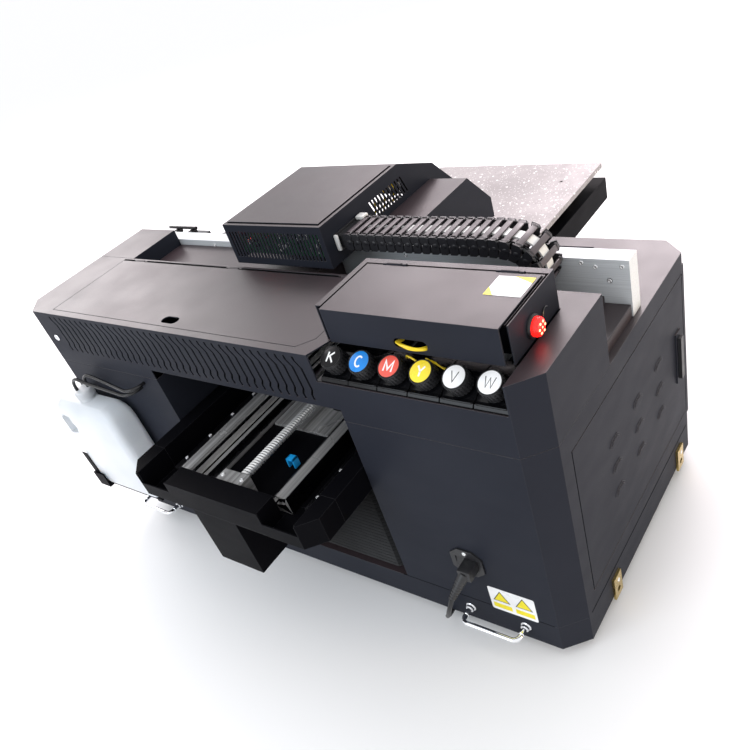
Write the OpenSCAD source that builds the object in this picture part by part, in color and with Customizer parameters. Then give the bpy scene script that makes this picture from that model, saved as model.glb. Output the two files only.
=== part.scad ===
// Flatbed UV printer: a bench machine with a moving table, a lifting trough and a cross carriage.
// The origin is on the floor, under the middle of the machine: +X to the right, +Y to the back.

/* [Cabinet] */
// Width of the cabinet
body_w = 1000; // [1000:1:1010]
// Depth of the cabinet
body_d = 498; // [498:1:502]
// Height of the plinth
plinth_h = 51; // [50:0.5:52]
// Height of the rear deck above the plinth's underside
deck_z = 377.5; // [377:0.5:378]
// Height of the front cover's top
cover_z = 480.5; // [480:0.5:481]
// Chamfer at the cabinet's upright corners
corner = 33; // [20:1:40]
// Sheet thickness of the cabinet
sheet = 2; // [1.5:0.1:2]
// Height of the feet
foot_h = 22; // [20:1:30]

/* [Front cover] */
// Number of wave slots in the front
slot_count = 38; // [10:1:38]
// Distance from slot to slot
slot_pitch = 15.6; // [15:0.1:15.6]
// Width of a wave slot
slot_w = 4; // [2:0.5:4]

/* [Ink] */
// Distance from bottle to bottle
bottle_pitch = 45.6; // [45:0.1:45.6]
// Radius of a bottle cap
cap_r = 16.5; // [15:0.5:17]
// Height of a bottle cap
cap_h = 20; // [18:1:22]
// Forward tilt of the bottle caps in degrees
cap_tilt = 30; // [25:1:30]

/* [Table and lift] */
// Width of the table
table_w = 392; // [380:1:394]
// Length of the table
table_l = 600; // [560:10:600]
// Thickness of the table
table_t = 10; // [8:1:12]
// Height of the table's top above the plinth's underside
table_z = 325; // [324:0.5:326]
// Radius of the ball screw
screw_r = 8; // [7:0.5:8]

/* [Carriage] */
// Width of the carriage hood
hood_w = 208; // [200:1:208]
// Height of the drag chain
chain_h = 26; // [24:1:26]
// Width of the drag chain
chain_w = 60; // [50:1:60]
// Bend radius of the drag chain at its middle
chain_r = 28.5; // [28:0.5:28.5]

/* [Hidden] */
$fn = 48;
eps = 0.01;
run_gap = 0.05;                  // radial clearance of a running fit
front_y = -385;                  // front face in the machine's frame
left_x = 305;                    // table tunnel, left side
right_x = 708;                   // table tunnel, right side
mid_x = (left_x + right_x) / 2;  // middle of the tunnel
cover_d = 187;                   // depth of the front cover
cover_z0 = deck_z - sheet + 0.6; // front cover's lower edge
beam_y0 = 295;                   // gantry beam, front face
beam_y1 = 322;                   // gantry beam, back face
beam_z = 461;                    // gantry beam, top
recess_z = 436;                  // floor of the recess under the drag chain
trough_z0 = 245;                 // trough underside
trough_z1 = 290;                 // trough rim
trough_w = 396;                  // trough width
trough_y0 = -128;                // trough front
trough_y1 = 905;                 // trough back
wing_y = -65;                    // where the wings end
wing_x = 100;                    // inner edge of a wing, from the middle
screw_z = 268;                   // ball screw height
table_y0 = 297;                  // table front edge at rest
hood_x0 = 366;                   // carriage hood, left side
hood_x1 = hood_x0 + hood_w;
chain_y0 = 231;                  // drag chain, front side
chain_zu = 507;                  // middle of the chain's upper run
chain_zl = chain_zu - 2 * chain_r;
bend_x = 860;                    // centre of the chain's bend
anchor_x = 620;                  // fixed end of the chain
well_x0 = 691;                   // ink well, left side
well_x1 = 965;                   // ink well, right side
cap_y = 12.5;                    // middle of a cap's top face
cap_z = 473;
door_y0 = 60;                    // side door
door_y1 = 460;
door_z0 = 84;
door_z1 = 343;
inlet_x = 842;                   // power inlet
inlet_z = 143;
cord_r = 3.5;
cord_floor = 0.1 + cord_r - foot_h;
cord_x = 768;                    // where the lead runs under the machine
coil_y = 556;                    // middle of the lead's coil
coil_r = 38;                     // radius at the middle of the coil's turns

// Route of the mains lead from the connector to its coil
CORD = [[835,-49,113], [832,-52,102], [827,-53,88], [820,-50,72], [811,-44,56], [802,-36,40],
        [793,-27,24], [785,-17,9], [778,-5,-4], [773,9,-13], [770,25,cord_floor + 0.6],
        [768,45,cord_floor], [cord_x,80,cord_floor], [cord_x,130,cord_floor], [cord_x,200,cord_floor],
        [cord_x,280,cord_floor], [cord_x,360,cord_floor], [cord_x,430,cord_floor],
        [cord_x + 1,490,cord_floor], [771.5,530,cord_floor]];
// Route from the coil to the plug, over the first stretch
plug_y = 540;
CORD_END = [[735,511,cord_floor + 7.2], [755,507.5,cord_floor + 7.6], [775,506,cord_floor + 7.8],
            [795,507,cord_floor + 9], [813,511,cord_floor + 11], [828,519,cord_floor + 13],
            [837,530,cord_floor + 14.4], [840,plug_y - 0.1,cord_floor + 14.6]];
// Routes of the two waste hoses, from the cabinet to the can's neck, with bends of one radius
hose_bend = 24;
hose_lead = 4;                   // straight length at either end of a hose
HOSE_A = concat([[262, -0.1, 362]],
    [for (t = [0:18:90]) [238 + hose_bend * cos(t), -hose_lead - hose_bend * sin(t), 362]],
    [for (k = [1:5]) [238 - 19 * k, -28 + 2 * k, 362 + k * 0.7]],
    [for (t = [0:18:90]) [122 - hose_bend * sin(t), -17, 338.2 + hose_lead + hose_bend * cos(t)]],
    [[98, -17, 338.2]]);
HOSE_B = concat([[246, -0.1, 350]],
    [for (t = [0:18:90]) [222 + hose_bend * cos(t), -hose_lead - hose_bend * sin(t), 350]],
    [for (k = [1:5]) [222 - 19 * k, -28 - 0.8 * k, 350 + 2.6 * k]],
    [for (t = [0:18:90]) [108 - hose_bend * sin(t), -32, 338.2 + hose_lead + hose_bend * cos(t)]],
    [[84, -32, 338.2]]);

// Moves from the cabinet's own corner to the machine's frame
module placed() { translate([-body_w / 2, front_y, foot_h]) children(); }
// A block between two corners
module block(a, b) { translate(a) cube(b - a); }
// A prism along X of an outline given as [y, z]
module along_x(x0, x1, pts) {
    translate([x0, 0, 0]) rotate([90, 0, 90]) linear_extrude(x1 - x0) polygon(pts);
}
// A prism along Y of an outline given as [x, z]
module along_y(y0, y1, pts) {
    translate([0, y1, 0]) rotate([90, 0, 0]) linear_extrude(y1 - y0) polygon(pts);
}
module along_z(z0, z1, pts) { translate([0, 0, z0]) linear_extrude(z1 - z0) polygon(pts); }
// A round bar along Y
module bar_y(x, z, r, y0, y1) { translate([x, y1, z]) rotate([90, 0, 0]) cylinder(r = r, h = y1 - y0); }
module bar_x(y, z, r, x0, x1) { translate([x0, y, z]) rotate([0, 90, 0]) cylinder(r = r, h = x1 - x0); }
module bar_z(x, y, r, z0, z1) { translate([x, y, z0]) cylinder(r = r, h = z1 - z0); }
// A rectangle with round corners
module round_rect(w, d, r) {
    translate([r, 0]) square([w - 2 * r, d]);
    translate([0, r]) square([w, d - 2 * r]);
    for (x = [r, w - r], y = [r, d - r]) translate([x, y]) circle(r);
}

// Outline of the cabinet between two inset sides
function cabinet(t) = let(c = corner + t * 0.414)
    [[c, t], [body_w - c, t], [body_w - t, c], [body_w - t, body_d - c],
     [body_w - c, body_d - t], [c, body_d - t], [t, body_d - c], [t, c]];
function left_outline(t) = let(c = corner + t * 0.414)
    [[c, t], [left_x - t, t], [left_x - t, body_d - t], [c, body_d - t],
     [t, body_d - c], [t, c]];
function right_outline(t) = let(c = corner + t * 0.414)
    [[right_x + t, t], [body_w - c, t], [body_w - t, c], [body_w - t, body_d - c],
     [body_w - c, body_d - t], [right_x + t, body_d - t]];
function cover_outline(t) = let(c = corner + t * 0.414)
    [[c, t], [body_w - c, t], [body_w - t, c], [body_w - t, cover_d - t], [t, cover_d - t], [t, c]];

// Sweeps a round tube of sides n along the points p
function unit(v) = v / norm(v);
function heading(p, i) = unit(p[min(i + 1, len(p) - 1)] - p[max(i - 1, 0)]);
function side_of(h) = unit(abs(h[0]) < 0.9 ? cross(cross(h, [1, 0, 0]), h) : cross(cross(h, [0, 0, 1]), h));
module tube(p, r, n) {
    rings = [for (i = [0:len(p) - 1]) let(h = heading(p, i), s = side_of(h), u = cross(h, s))
        for (k = [0:n - 1]) p[i] + r * (cos(360 * k / n) * s + sin(360 * k / n) * u)];
    last = (len(p) - 1) * n;
    polyhedron(rings, concat(
        [[for (k = [0:n - 1]) k]],
        [for (i = [0:len(p) - 2], k = [0:n - 1])
            [i * n + k, (i + 1) * n + k, (i + 1) * n + (k + 1) % n, i * n + (k + 1) % n]],
        [[for (k = [n - 1:-1:0]) last + k]]));
}

// ---- base ----
foot_xy = [for (x = [60, body_w - 60], y = [60, body_d - 60]) [x, y]];
rod_xy = [for (x = [372, 641], y = [80, 420]) [x, y]];

module plinth() placed() color("#26262a") difference() {
    union() {
        difference() {
            along_z(0, plinth_h, cabinet(0));
            along_z(-eps, plinth_h - sheet, cabinet(sheet));
        }
        block([mid_x - 22, sheet - eps, 0], [mid_x + 22, body_d - sheet + eps, 6]);
        for (p = foot_xy) block([p[0] - 30, p[1] - 30, 0], [p[0] + 30, p[1] + 30, 4]);
        for (p = foot_xy) block([p[0] - 3, p[1] - 30, 3], [p[0] + 3, p[1] + 30, plinth_h - 1]);
    }
    bar_z(mid_x, 250, screw_r + run_gap, -1, 7);
    bar_z(mid_x, 250, 16, 10, plinth_h + 1);
    for (p = rod_xy) bar_z(p[0], p[1], 9, -1, plinth_h + 1);
}
module feet() placed() color("#151515") for (p = foot_xy) translate([p[0], p[1], 0]) {
    translate([0, 0, -foot_h]) cylinder(r = 18, h = 12);
    translate([0, 0, 12 - foot_h]) cylinder(r = 6, h = foot_h - 12);
}
module left_pedestal() placed() color("#26262a") difference() {
    along_z(plinth_h, deck_z - sheet, left_outline(0));
    along_z(plinth_h - 1, deck_z, left_outline(sheet));
    // notch that lets the print heads reach the capping station
    block([left_x - 5, 352, 320], [left_x + 1, 458, deck_z]);
}
module right_pedestal() placed() color("#26262a") difference() {
    union() {
        difference() {
            along_z(plinth_h, deck_z - sheet, right_outline(0));
            along_z(plinth_h - 1, deck_z, right_outline(sheet));
        }
        // frame behind the door's edge
        for (y = [door_y0 - 16, door_y1 + 2.5]) block([984, y, door_z0 - 12], [999, y + 12, door_z1 + 12]);
        // brackets for the door's pins
        for (z = [door_z0 - 8, door_z1 + 4]) block([988, door_y0 - 6, z], [999, door_y0 + 14, z + 4]);
    }
    block([997.9, door_y0 - 2.5, door_z0 - 2], [1001, door_y1 + 2.5, door_z1 + 2]);
    block([980, door_y0 + 14.5, door_z0 - 2], [998, door_y1 + 2.4, door_z1 + 2]);
    block([inlet_x - 21, -1, inlet_z - 13], [inlet_x + 21, 4, inlet_z + 13]);
}
module rear_deck() placed() color("#3a3436") difference() {
    intersection() {
        along_z(deck_z - sheet, deck_z, cabinet(0));
        block([-1, cover_d + 0.5, 0], [body_w + 1, body_d + 1, body_d]);
    }
    block([130, 330, deck_z - 5], [865, 470, deck_z + 5]);
}
// One wave slot as [x, z] points along its middle
wave = [[0, 474.5], [1, 468], [9, 457], [12, 421], [8, 413], [9.5, 403.5]];
module front_cover() placed() color("#26262a") difference() {
    along_z(cover_z0, cover_z, cover_outline(0));
    along_z(cover_z0 - 1, cover_z - sheet, cover_outline(sheet));
    block([left_x, -1, cover_z0 - 1], [right_x, cover_d + 1, 395]);
    // lid opening with room for the hinge at its back
    along_z(cover_z - 5, cover_z + 1, [[81, 12.6], [655.5, 12.6], [675.5, 34.6], [675.5, 183.3], [81, 183.3]]);
    // ink well
    along_z(438.5, cover_z + 1, [[well_x0 - 7, -1], [well_x1, -1], [well_x1, 150], [700, 150], [700, 39]]);
    for (i = [0:slot_count - 1]) let(x = 78 + i * slot_pitch)
        along_y(-1, sheet + 1, concat([for (p = wave) [x + p[0], p[1]]],
            [for (k = [len(wave) - 1:-1:0]) [x + slot_w + wave[k][0], wave[k][1]]]));
    bar_y(63, 429, 4, -1, sheet + 1);
}
module rear_left_cover() placed() color("#3a3436") difference() {
    block([0, cover_d + 0.5, deck_z], [101, 294, cover_z]);
    block([sheet, cover_d + 2.5, deck_z - 1], [99, 292, cover_z - sheet]);
}
module recess_tray() placed() color("#2b282a") {
    block([101.3, 189, 448], [505, 294.5, 450]);
    block([503, 189, recess_z - 2], [505, 294.5, 449]);
    block([504, 189, recess_z - 2], [953, 294.5, recess_z]);
    block([951, 189, deck_z], [953, 294.5, recess_z - 1]);
    block([952, 189, 394], [989, 294.5, 396]);
    block([987, 189, deck_z], [989, 294.5, 395]);
    block([101.3, 189, deck_z], [103.3, 294.5, 449]);
}
module gantry_beam() placed() color("#b9bcc0") difference() {
    block([9, beam_y0, deck_z], [991, beam_y1, beam_z]);
    for (z = [398, 440]) block([0, beam_y0 + 9, z], [985, beam_y1 - 9, z + 12]);
    for (p = [[926, 455], [945, 450], [981, 452]]) bar_y(p[0], p[1] - 0.5, 2.5, beam_y0 - 1, beam_y0 + 5);
    bar_y(963, 430, 4, beam_y0 - 1, beam_y0 + 5);
}
module gantry_rail() placed() color("#9a9da0") difference() {
    block([30, beam_y1, 415], [970, beam_y1 + 8, 430]);
    for (i = [0:15]) bar_y(50 + i * 60, 422.5, 3, beam_y1 + 3, beam_y1 + 9);
}
module ink_housing() placed() color("#26262a") difference() {
    block([693, 38, cover_z], [962, 153, 531]);
    block([694.5, 36, cover_z - 1], [960.5, 151.5, 529.5]);
    block([707, 36, cover_z - 1], [957.5, 136.5, 532]);
}
module alarm_lamp() placed() color("red") {
    bar_x(86, 499, 13, 962, 968);
    bar_x(86, 499, 11.5, 968, 975);
}
module bottle() difference() {
    along_x(0.8, bottle_pitch - 0.8,
        [[2.5, 440], [5, 444], [10, 445], [40, 462], [66, 462], [66, 390], [2.5, 390]]);
    block([6, 6, 392], [bottle_pitch - 6, 30, 440]);
}
module tilted(i) {
    translate([well_x0 + bottle_pitch * (i + 0.5), cap_y, cap_z]) rotate([cap_tilt, 0, 0]) children();
}
module ink_bottles() placed() color("#141416") for (i = [0:5]) {
    translate([well_x0 + bottle_pitch * i, 0, 0]) bottle();
    tilted(i) translate([0, 0, -30]) cylinder(r = 11, h = 16);
}
module ink_cap(i) placed() color("#17171a") tilted(i) difference() {
    union() {
        translate([0, 0, -cap_h]) cylinder(r = cap_r - 0.8, h = cap_h);
        for (k = [0:23]) rotate([0, 0, k * 15]) translate([cap_r - 1.4, -1, 1 - cap_h]) cube([1.4, 2, cap_h - 3]);
    }
    translate([0, 0, -cap_h - 1]) cylinder(r = 11.4, h = 8);
}
module ink_cap_1() ink_cap(0);
module ink_cap_2() ink_cap(1);
module ink_cap_3() ink_cap(2);
module ink_cap_4() ink_cap(3);
module ink_cap_5() ink_cap(4);
module ink_cap_6() ink_cap(5);
// hinge axes: service lid, ink lid, side door
lid_axis = [180.8, 479.5];
ink_axis = [138.5, 533.2];
door_axis = [994, 66];
lid_hinge_x = [130, 378, 620];
ink_hinge_x = [750, 915];
module hinge_pins() placed() color("#8d9094") {
    for (x = lid_hinge_x) {
        bar_x(lid_axis[0], lid_axis[1], 1, x - 18, x + 18);
        for (d = [-18, 12]) block([x + d, lid_axis[0] + 0.4, lid_axis[1] - 1], [x + d + 6, 183.3, lid_axis[1] + 1]);
    }
    for (x = ink_hinge_x) {
        bar_x(ink_axis[0], ink_axis[1], 1, x - 18, x + 18);
        for (d = [-18, 12]) block([x + d, ink_axis[0] - 1, 531], [x + d + 6, ink_axis[0] + 3, ink_axis[1] + 0.6]);
    }
    for (z = [door_z0 - 4, door_z1 - 8]) bar_z(door_axis[0], door_axis[1], 2, z, z + 12);
}
module handle(x0, x1, z) {
    for (x = [x0, x1]) {
        bar_y(x, z, 4, -20, 0);
        bar_y(x, z, 6.5, -6, 0);
    }
    for (s = [0, 1]) translate([(x0 + x1) / 2, -20, z]) mirror([s, 0, 0])
        translate([(x1 - x0) / 2 - 10, 0, 0]) rotate([0, 0, -90]) rotate_extrude(angle = 90)
            translate([10, 0]) circle(4);
    bar_x(-30, z, 4, x0 + 10, x1 - 10);
}
module front_handles() placed() color("#d8dade") {
    handle(820.5, 913.6, 28);
    handle(27, 119, 20);
}
lug_y = [125, 414];
module mounting_lugs() placed() color("#d8b858") for (s = [0, 1], y = lug_y) difference() {
    block([s ? body_w : -4, y - 13, -6], [s ? body_w + 4 : 0, y + 13, 38]);
    bar_x(y, 8, 5, s ? body_w - 1 : -5, s ? body_w + 5 : 1);
}
module power_inlet() placed() color("#141416") difference() {
    union() {
        along_y(-3, 0, [[inlet_x - 26, 129], [inlet_x - 12, 117], [inlet_x + 12, 117],
            [inlet_x + 26, 129], [inlet_x + 26, 157], [inlet_x + 12, 169],
            [inlet_x - 12, 169], [inlet_x - 26, 157]]);
        block([inlet_x - 20.5, 0, inlet_z - 12.5], [inlet_x + 20.5, 34, inlet_z + 12.5]);
    }
    block([inlet_x - 18, -4, inlet_z - 10], [inlet_x - 6, 12, inlet_z + 10]);
    block([inlet_x - 3.2, -4, inlet_z - 10.2], [inlet_x + 18.2, 16, inlet_z + 10.2]);
    for (z = [122.5, 163.5]) bar_y(inlet_x, z, 1.7, -4, 1);
}
module waste_can() placed() color("#f2f5f6") {
    difference() {
        union() {
            translate([6, -61, 111]) linear_extrude(190) round_rect(184, 57, 10);
            along_y(-59, -6, [[16, 300], [180, 300], [176, 309], [120, 324], [24, 322], [16, 312]]);
            bar_z(91, -25, 17, 318, 338);
        }
        block([20, -70, 250], [48, 5, 286]);
    }
}
module can_bracket() placed() color("#17171a") {
    block([8, -56, 107], [188, 0, 111]);
    block([2, -66, 107], [34, 0, 111]);
    block([2, -66, 110], [34, -63, 140]);
    block([2, -66, 110], [5, 0, 140]);
}
module waste_hoses() placed() color("#101012") {
    tube(HOSE_A, 3, 8);
    tube(HOSE_B, 3, 8);
}
pleats = 14;
module lift_bellows() placed() color("#101012") difference() {
    union() {
        block([324, 18, plinth_h], [689, 480, trough_z0]);
        for (i = [0:pleats - 1]) let(p = (trough_z0 - plinth_h) / pleats)
            block([314, 8, plinth_h + (i + 0.25) * p], [699, 490, plinth_h + (i + 0.75) * p]);
    }
    block([326, 20, plinth_h - 1], [687, 478, trough_z0 + 1]);
}
module guide_sleeves() placed() color("#a7a9ac") for (p = rod_xy) difference() {
    bar_z(p[0], p[1], 14, plinth_h, 140);
    bar_z(p[0], p[1], screw_r + run_gap, plinth_h - 1, 141);
}
module electronics() placed() {
    color("#c2c5c8") block([right_x + sheet, 130, 60], [758, 345, 175]);
    color("#1f6b3a") block([716, 130, 200], [718, 400, 350]);
    color("#2b2b2e") for (i = [0:4]) block([718, 150 + i * 46, 215], [734, 180 + i * 46, 262]);
    color("#c2c5c8") block([right_x + sheet, 120, 190], [716, 410, 360]);
}
module capping_station() placed() color("#2a2a2e") {
    block([135, 345, 290], [285, 465, 312]);
    for (x = [145, 225]) difference() {
        block([x, 360, 312], [x + 50, 450, 331]);
        block([x + 4, 364, 318], [x + 46, 446, 332]);
    }
    block([150, 350, 250], [270, 460, 290]);
    block([2.2, 385, 290], [135, 425, 300]);
}
module stepper_motors() placed() color("#1c1c20") {
    translate([46, 362, deck_z]) { block([-28, -28, 0], [28, 28, 50]); cylinder(r = 4, h = 62); }
    translate([600, 250, 2]) block([-28, -28, 0], [28, 28, plinth_h - 6]);
    translate([600, 250, -12]) cylinder(r = 4, h = 15);
    translate([600, 250, -11]) cylinder(r = 12, h = 8);
}
// A run of the drag chain along X: links as frames
module chain_run(x0, x1, zc) difference() {
    block([x0, chain_y0, zc - chain_h / 2], [x1, chain_y0 + chain_w, zc + chain_h / 2]);
    block([x0 - 1, chain_y0 + 5, zc - chain_h / 2 + 4], [x1 + 1, chain_y0 + chain_w - 5, zc + chain_h / 2 - 4]);
}
module chain_lower() placed() color("#1b1b1e") {
    chain_run(anchor_x, bend_x, chain_zl);
    block([anchor_x - 24, chain_y0 + 6, recess_z], [anchor_x - 0.2, chain_y0 + chain_w - 6, recess_z + 4]);
}

// ---- lids, door, switch ----
module service_lid() placed() color("#3a3436") difference() {
    union() {
        along_z(cover_z - sheet, cover_z, [[82, 13.6], [655, 13.6], [674.5, 35], [674.5, 178.3], [82, 178.3]]);
        for (x = lid_hinge_x) {
            bar_x(lid_axis[0], lid_axis[1], 1.8, x - 11.5, x + 11.5);
            block([x - 11.5, 177, lid_axis[1] - 1], [x + 11.5, lid_axis[0], lid_axis[1] + 0.9]);
        }
    }
    for (x = lid_hinge_x) bar_x(lid_axis[0], lid_axis[1], 1 + run_gap, x - 12, x + 12);
    for (x = [373, 391]) bar_z(x, 30, 8.5, cover_z - 5, cover_z + 2);
    block([373, 21.5, cover_z - 5], [391, 38.5, cover_z + 2]);
}
module ink_lid() placed() color("#3a3436") difference() {
    union() {
        block([708, 28, 531.2], [956, 135, 533.2]);
        block([708, 28, 485], [956, 30, 533]);
        for (x = ink_hinge_x) {
            bar_x(ink_axis[0], ink_axis[1], 1.9, x - 11.5, x + 11.5);
            block([x - 11.5, 133, 531.2], [x + 11.5, ink_axis[0], 533]);
        }
    }
    for (x = ink_hinge_x) bar_x(ink_axis[0], ink_axis[1], 1 + run_gap, x - 12, x + 12);
    for (x = [817, 851]) bar_y(x, 497, 7, 27, 31);
    block([817, 27, 490], [851, 31, 504]);
}
// A pressed louvre: a long hexagon in two steps
function hexagon(y, z, w, h) = [[y - w, z], [y - 0.55 * w, z - h], [y + 0.55 * w, z - h],
    [y + w, z], [y + 0.55 * w, z + h], [y - 0.55 * w, z + h]];
module louvre(y, z) {
    along_x(body_w - 1, body_w + 1.2, hexagon(y, z, 17, 7.5));
    along_x(body_w - 1, body_w + 2.4, hexagon(y, z, 13.5, 5));
}
module side_door() placed() color("#26262a") difference() {
    union() {
        block([998.2, door_y0, door_z0], [1000, door_y1, door_z1]);
        for (y = [door_y0, door_y1 - 2]) block([987, y, door_z0], [999, y + 2, door_z1]);
        for (z = [door_z0, door_z1 - 2]) block([987, door_y0, z], [999, door_y1, z + 2]);
        for (i = [0:2], j = [0:2]) louvre(176 + i * 86, 169 + j * 45.5);
        block([999.5, 420, 170], [1002.5, 440, 262]);
    }
    for (z = [door_z0 - 1, door_z1 - 3]) bar_z(door_axis[0], door_axis[1], 2 + run_gap, z, z + 4);
    bar_x(430, 248, 3 + run_gap, 990, 1004);
}
module door_lever() placed() color("#141416") {
    bar_x(430, 248, 3, 992, 1004);
    block([1002.9, 424.5, 178], [1008.5, 435.5, 254]);
    block([990, 424, 240], [993, 456, 256]);
}
module rocker_switch() placed() color("#101012")
    along_x(inlet_x - 17.5, inlet_x - 6.5, [[-1, inlet_z - 8.4], [-4.5, inlet_z - 8.4], [-2.5, inlet_z],
        [-1, inlet_z + 8.4], [5, inlet_z + 5], [5, inlet_z - 5]]);

// ---- carriage ----
hood_side = [[204, 477], [352, 477], [352, 431], [545, 431], [558, 452], [507, 505], [413, 545], [204, 545]];
hood_inside = [[205.5, 400], [543.6, 400], [543.6, 431], [556, 451.5], [506, 503.6], [412.6, 543.5], [205.5, 543.5]];
module carriage_hood() placed() color("#26262a") difference() {
    along_x(hood_x0, hood_x1, hood_side);
    along_x(hood_x0 + 1.5, hood_x1 - 1.5, hood_inside);
    block([hood_x0 + 12, 216, 540], [hood_x1 - 12, 400, 546]);
    for (i = [0:26]) block([hood_x0 + 8 + i * 7.2, 203, 489], [hood_x0 + 11.2 + i * 7.2, 207, 533]);
    for (i = [0:11]) let(y = 322 + i * 8)
        along_x(hood_x1 - 3, hood_x1 + 1, [[y, 524], [y + 3.8, 524], [y + 16, 494], [y + 12.2, 494]]);
}
module hood_panel() placed() color("#3a3436")
    block([hood_x0 + 8, 212, 545], [hood_x1 - 8, 404, 546.5]);
module carriage_plate() placed() color("#8d9094") {
    block([385, 338.2, 395], [555, 346, 476]);
    for (x = [395, 485]) difference() {
        block([x, 323, 406], [x + 60, 338.3, 439]);
        block([x - 1, 320, 414.8], [x + 61, 330.2, 430.2]);
    }
    block([385, 345, 395], [555, 360, 401]);
    block([385, 359, 395], [555, 470, 400]);
}
module print_heads() placed() color("#5a5c60") for (x = [400, 480]) {
    block([x, 362, 334], [x + 60, 448, 346]);
    block([x + 4, 366, 346], [x + 56, 444, 394.8]);
    block([x + 6, 370, 400.2], [x + 54, 440, 426]);
}
module uv_lamp() placed() color("#3d3b3e") difference() {
    along_x(hood_x1 + 0.5, 648, [[356, 386], [356, 484], [490, 484], [550, 421], [550, 386]]);
    along_x(hood_x1 + 3, 645.5, [[359, 380], [359, 481.5], [488.9, 481.5], [547, 420.2], [547, 380]]);
}
module chain_clamp() placed() color("#1b1b1e") {
    block([hood_x1, chain_y0 + 2, chain_zu - 10], [hood_x1 + 14, chain_y0 + chain_w - 2, chain_zu + 10]);
    block([hood_x1, chain_y0 - 2, chain_zu - 14], [hood_x1 + 3, chain_y0 + chain_w + 2, chain_zu + 14]);
}
module chain_upper() placed() color("#1b1b1e") chain_run(hood_x1 + 14.2, bend_x, chain_zu);
module chain_bend() placed() color("#1b1b1e") intersection() {
    translate([bend_x, chain_y0 + chain_w, (chain_zu + chain_zl) / 2]) rotate([90, 0, 0])
        rotate_extrude() difference() {
            translate([chain_r - chain_h / 2, 0]) square([chain_h, chain_w]);
            translate([chain_r - chain_h / 2 + 4, 5]) square([chain_h - 8, chain_w - 10]);
        }
    block([bend_x + 0.2, chain_y0 - 1, chain_zl - 30], [bend_x + 50, chain_y0 + chain_w + 1, chain_zu + 30]);
}

// ---- lift ----
tx0 = mid_x - trough_w / 2;
tx1 = mid_x + trough_w / 2;
rim = 28;
module trough() placed() color("#1b1b1e") {
    along_y(wing_y, trough_y1, [[tx0, trough_z0], [tx1, trough_z0], [tx1, trough_z1],
        [tx1 - rim, trough_z1], [tx1 - rim, trough_z0 + 2], [tx0 + rim, trough_z0 + 2],
        [tx0 + rim, trough_z1], [tx0, trough_z1]]);
    block([tx0 + rim - eps, trough_y1 - 2, trough_z0], [tx1 - rim + eps, trough_y1, trough_z1 - 10]);
    block([mid_x - wing_x + 0.1, trough_y0 + 0.2, trough_z0], [mid_x + wing_x - 0.1, wing_y + eps, trough_z0 + 2]);
}
module wing(s) translate([mid_x, 0, 0]) mirror([s, 0, 0]) difference() {
    along_z(trough_z0, trough_z1, [[wing_x, trough_y0], [172, trough_y0], [trough_w / 2, trough_y0 + 26],
        [trough_w / 2, wing_y - 0.3], [wing_x, wing_y - 0.3]]);
    block([wing_x - 1, trough_y0 + 2, trough_z0 + 2], [trough_w / 2 - rim, wing_y + 1, trough_z1 + 1]);
    block([wing_x + 2, trough_y0 - 1, 269.5], [172, trough_y0 + 3, trough_z1 + 1]);
}
module trough_wings() placed() color("#1f1f23") {
    wing(0);
    wing(1);
    block([mid_x - wing_x - 0.1, trough_y0, trough_z0 + 2.2], [mid_x + wing_x + 0.1, trough_y0 + 38, trough_z1]);
}
module y_motor_cover() placed() color("#1f1f23") difference() {
    block([445, trough_y0 + 0.2, 133], [540, -66, trough_z0]);
    block([447, trough_y0 + 2.2, 135], [538, -68, trough_z0 + 1]);
}
module profile(s) translate([mid_x, 0, 0]) mirror([s, 0, 0]) difference() {
    along_y(-82, 895, [[64, 247.2], [114, 247.2], [114, 280], [94, 280], [94, 275], [97, 275],
        [97, 269], [94, 269], [94, 262], [88, 262], [88, 256], [84, 256], [84, 262], [76, 262],
        [76, 255], [64, 255]]);
    bar_y(104, 268, 3.4, -83, -60);
}
module y_profiles() placed() color("#b9bcc0") { profile(0); profile(1); }
module y_rails() placed() color("#3b3c40") for (s = [-1, 1]) let(x = mid_x + s * 144.5) {
    block([x - 7.5, -76, 247.2], [x + 7.5, 895, 262]);
    for (i = [0:16]) translate([x, -52 + i * 57, 261]) cylinder(r = 3.6, h = 2.2);
}
module screw_blocks() placed() color("#a7a9ac") difference() {
    union() {
        block([480, -88, 247.2], [533, -64, 284]);
        block([480, 878, 247.2], [533, 898, 284]);
        block([447, 75, 247.2], [566, 215, 252]);
    }
    bar_y(mid_x, screw_z, screw_r + run_gap, -90, 900);
    bar_z(482, 96, 6, 240, 260);
}
module guide_rods() placed() color("#c9ccd0") {
    for (p = rod_xy) bar_z(p[0], p[1], screw_r, 86, trough_z0 - 0.2);
    difference() {
        union() {
            bar_z(mid_x, 250, 14, 108, trough_z0 - 0.2);
            bar_z(mid_x, 250, 30, trough_z0 - 10, trough_z0 - 0.2);
        }
        bar_z(mid_x, 250, screw_r + run_gap, 100, trough_z0 + 1);
    }
}
module lift_screw() placed() color("#c9ccd0") {
    bar_z(mid_x, 250, screw_r, -12, 140);
    bar_z(mid_x, 250, 20, -12, -1);
}
module ball_screw() placed() color("#d2d4d8") bar_y(mid_x, screw_z, screw_r, -86, 896);

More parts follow.
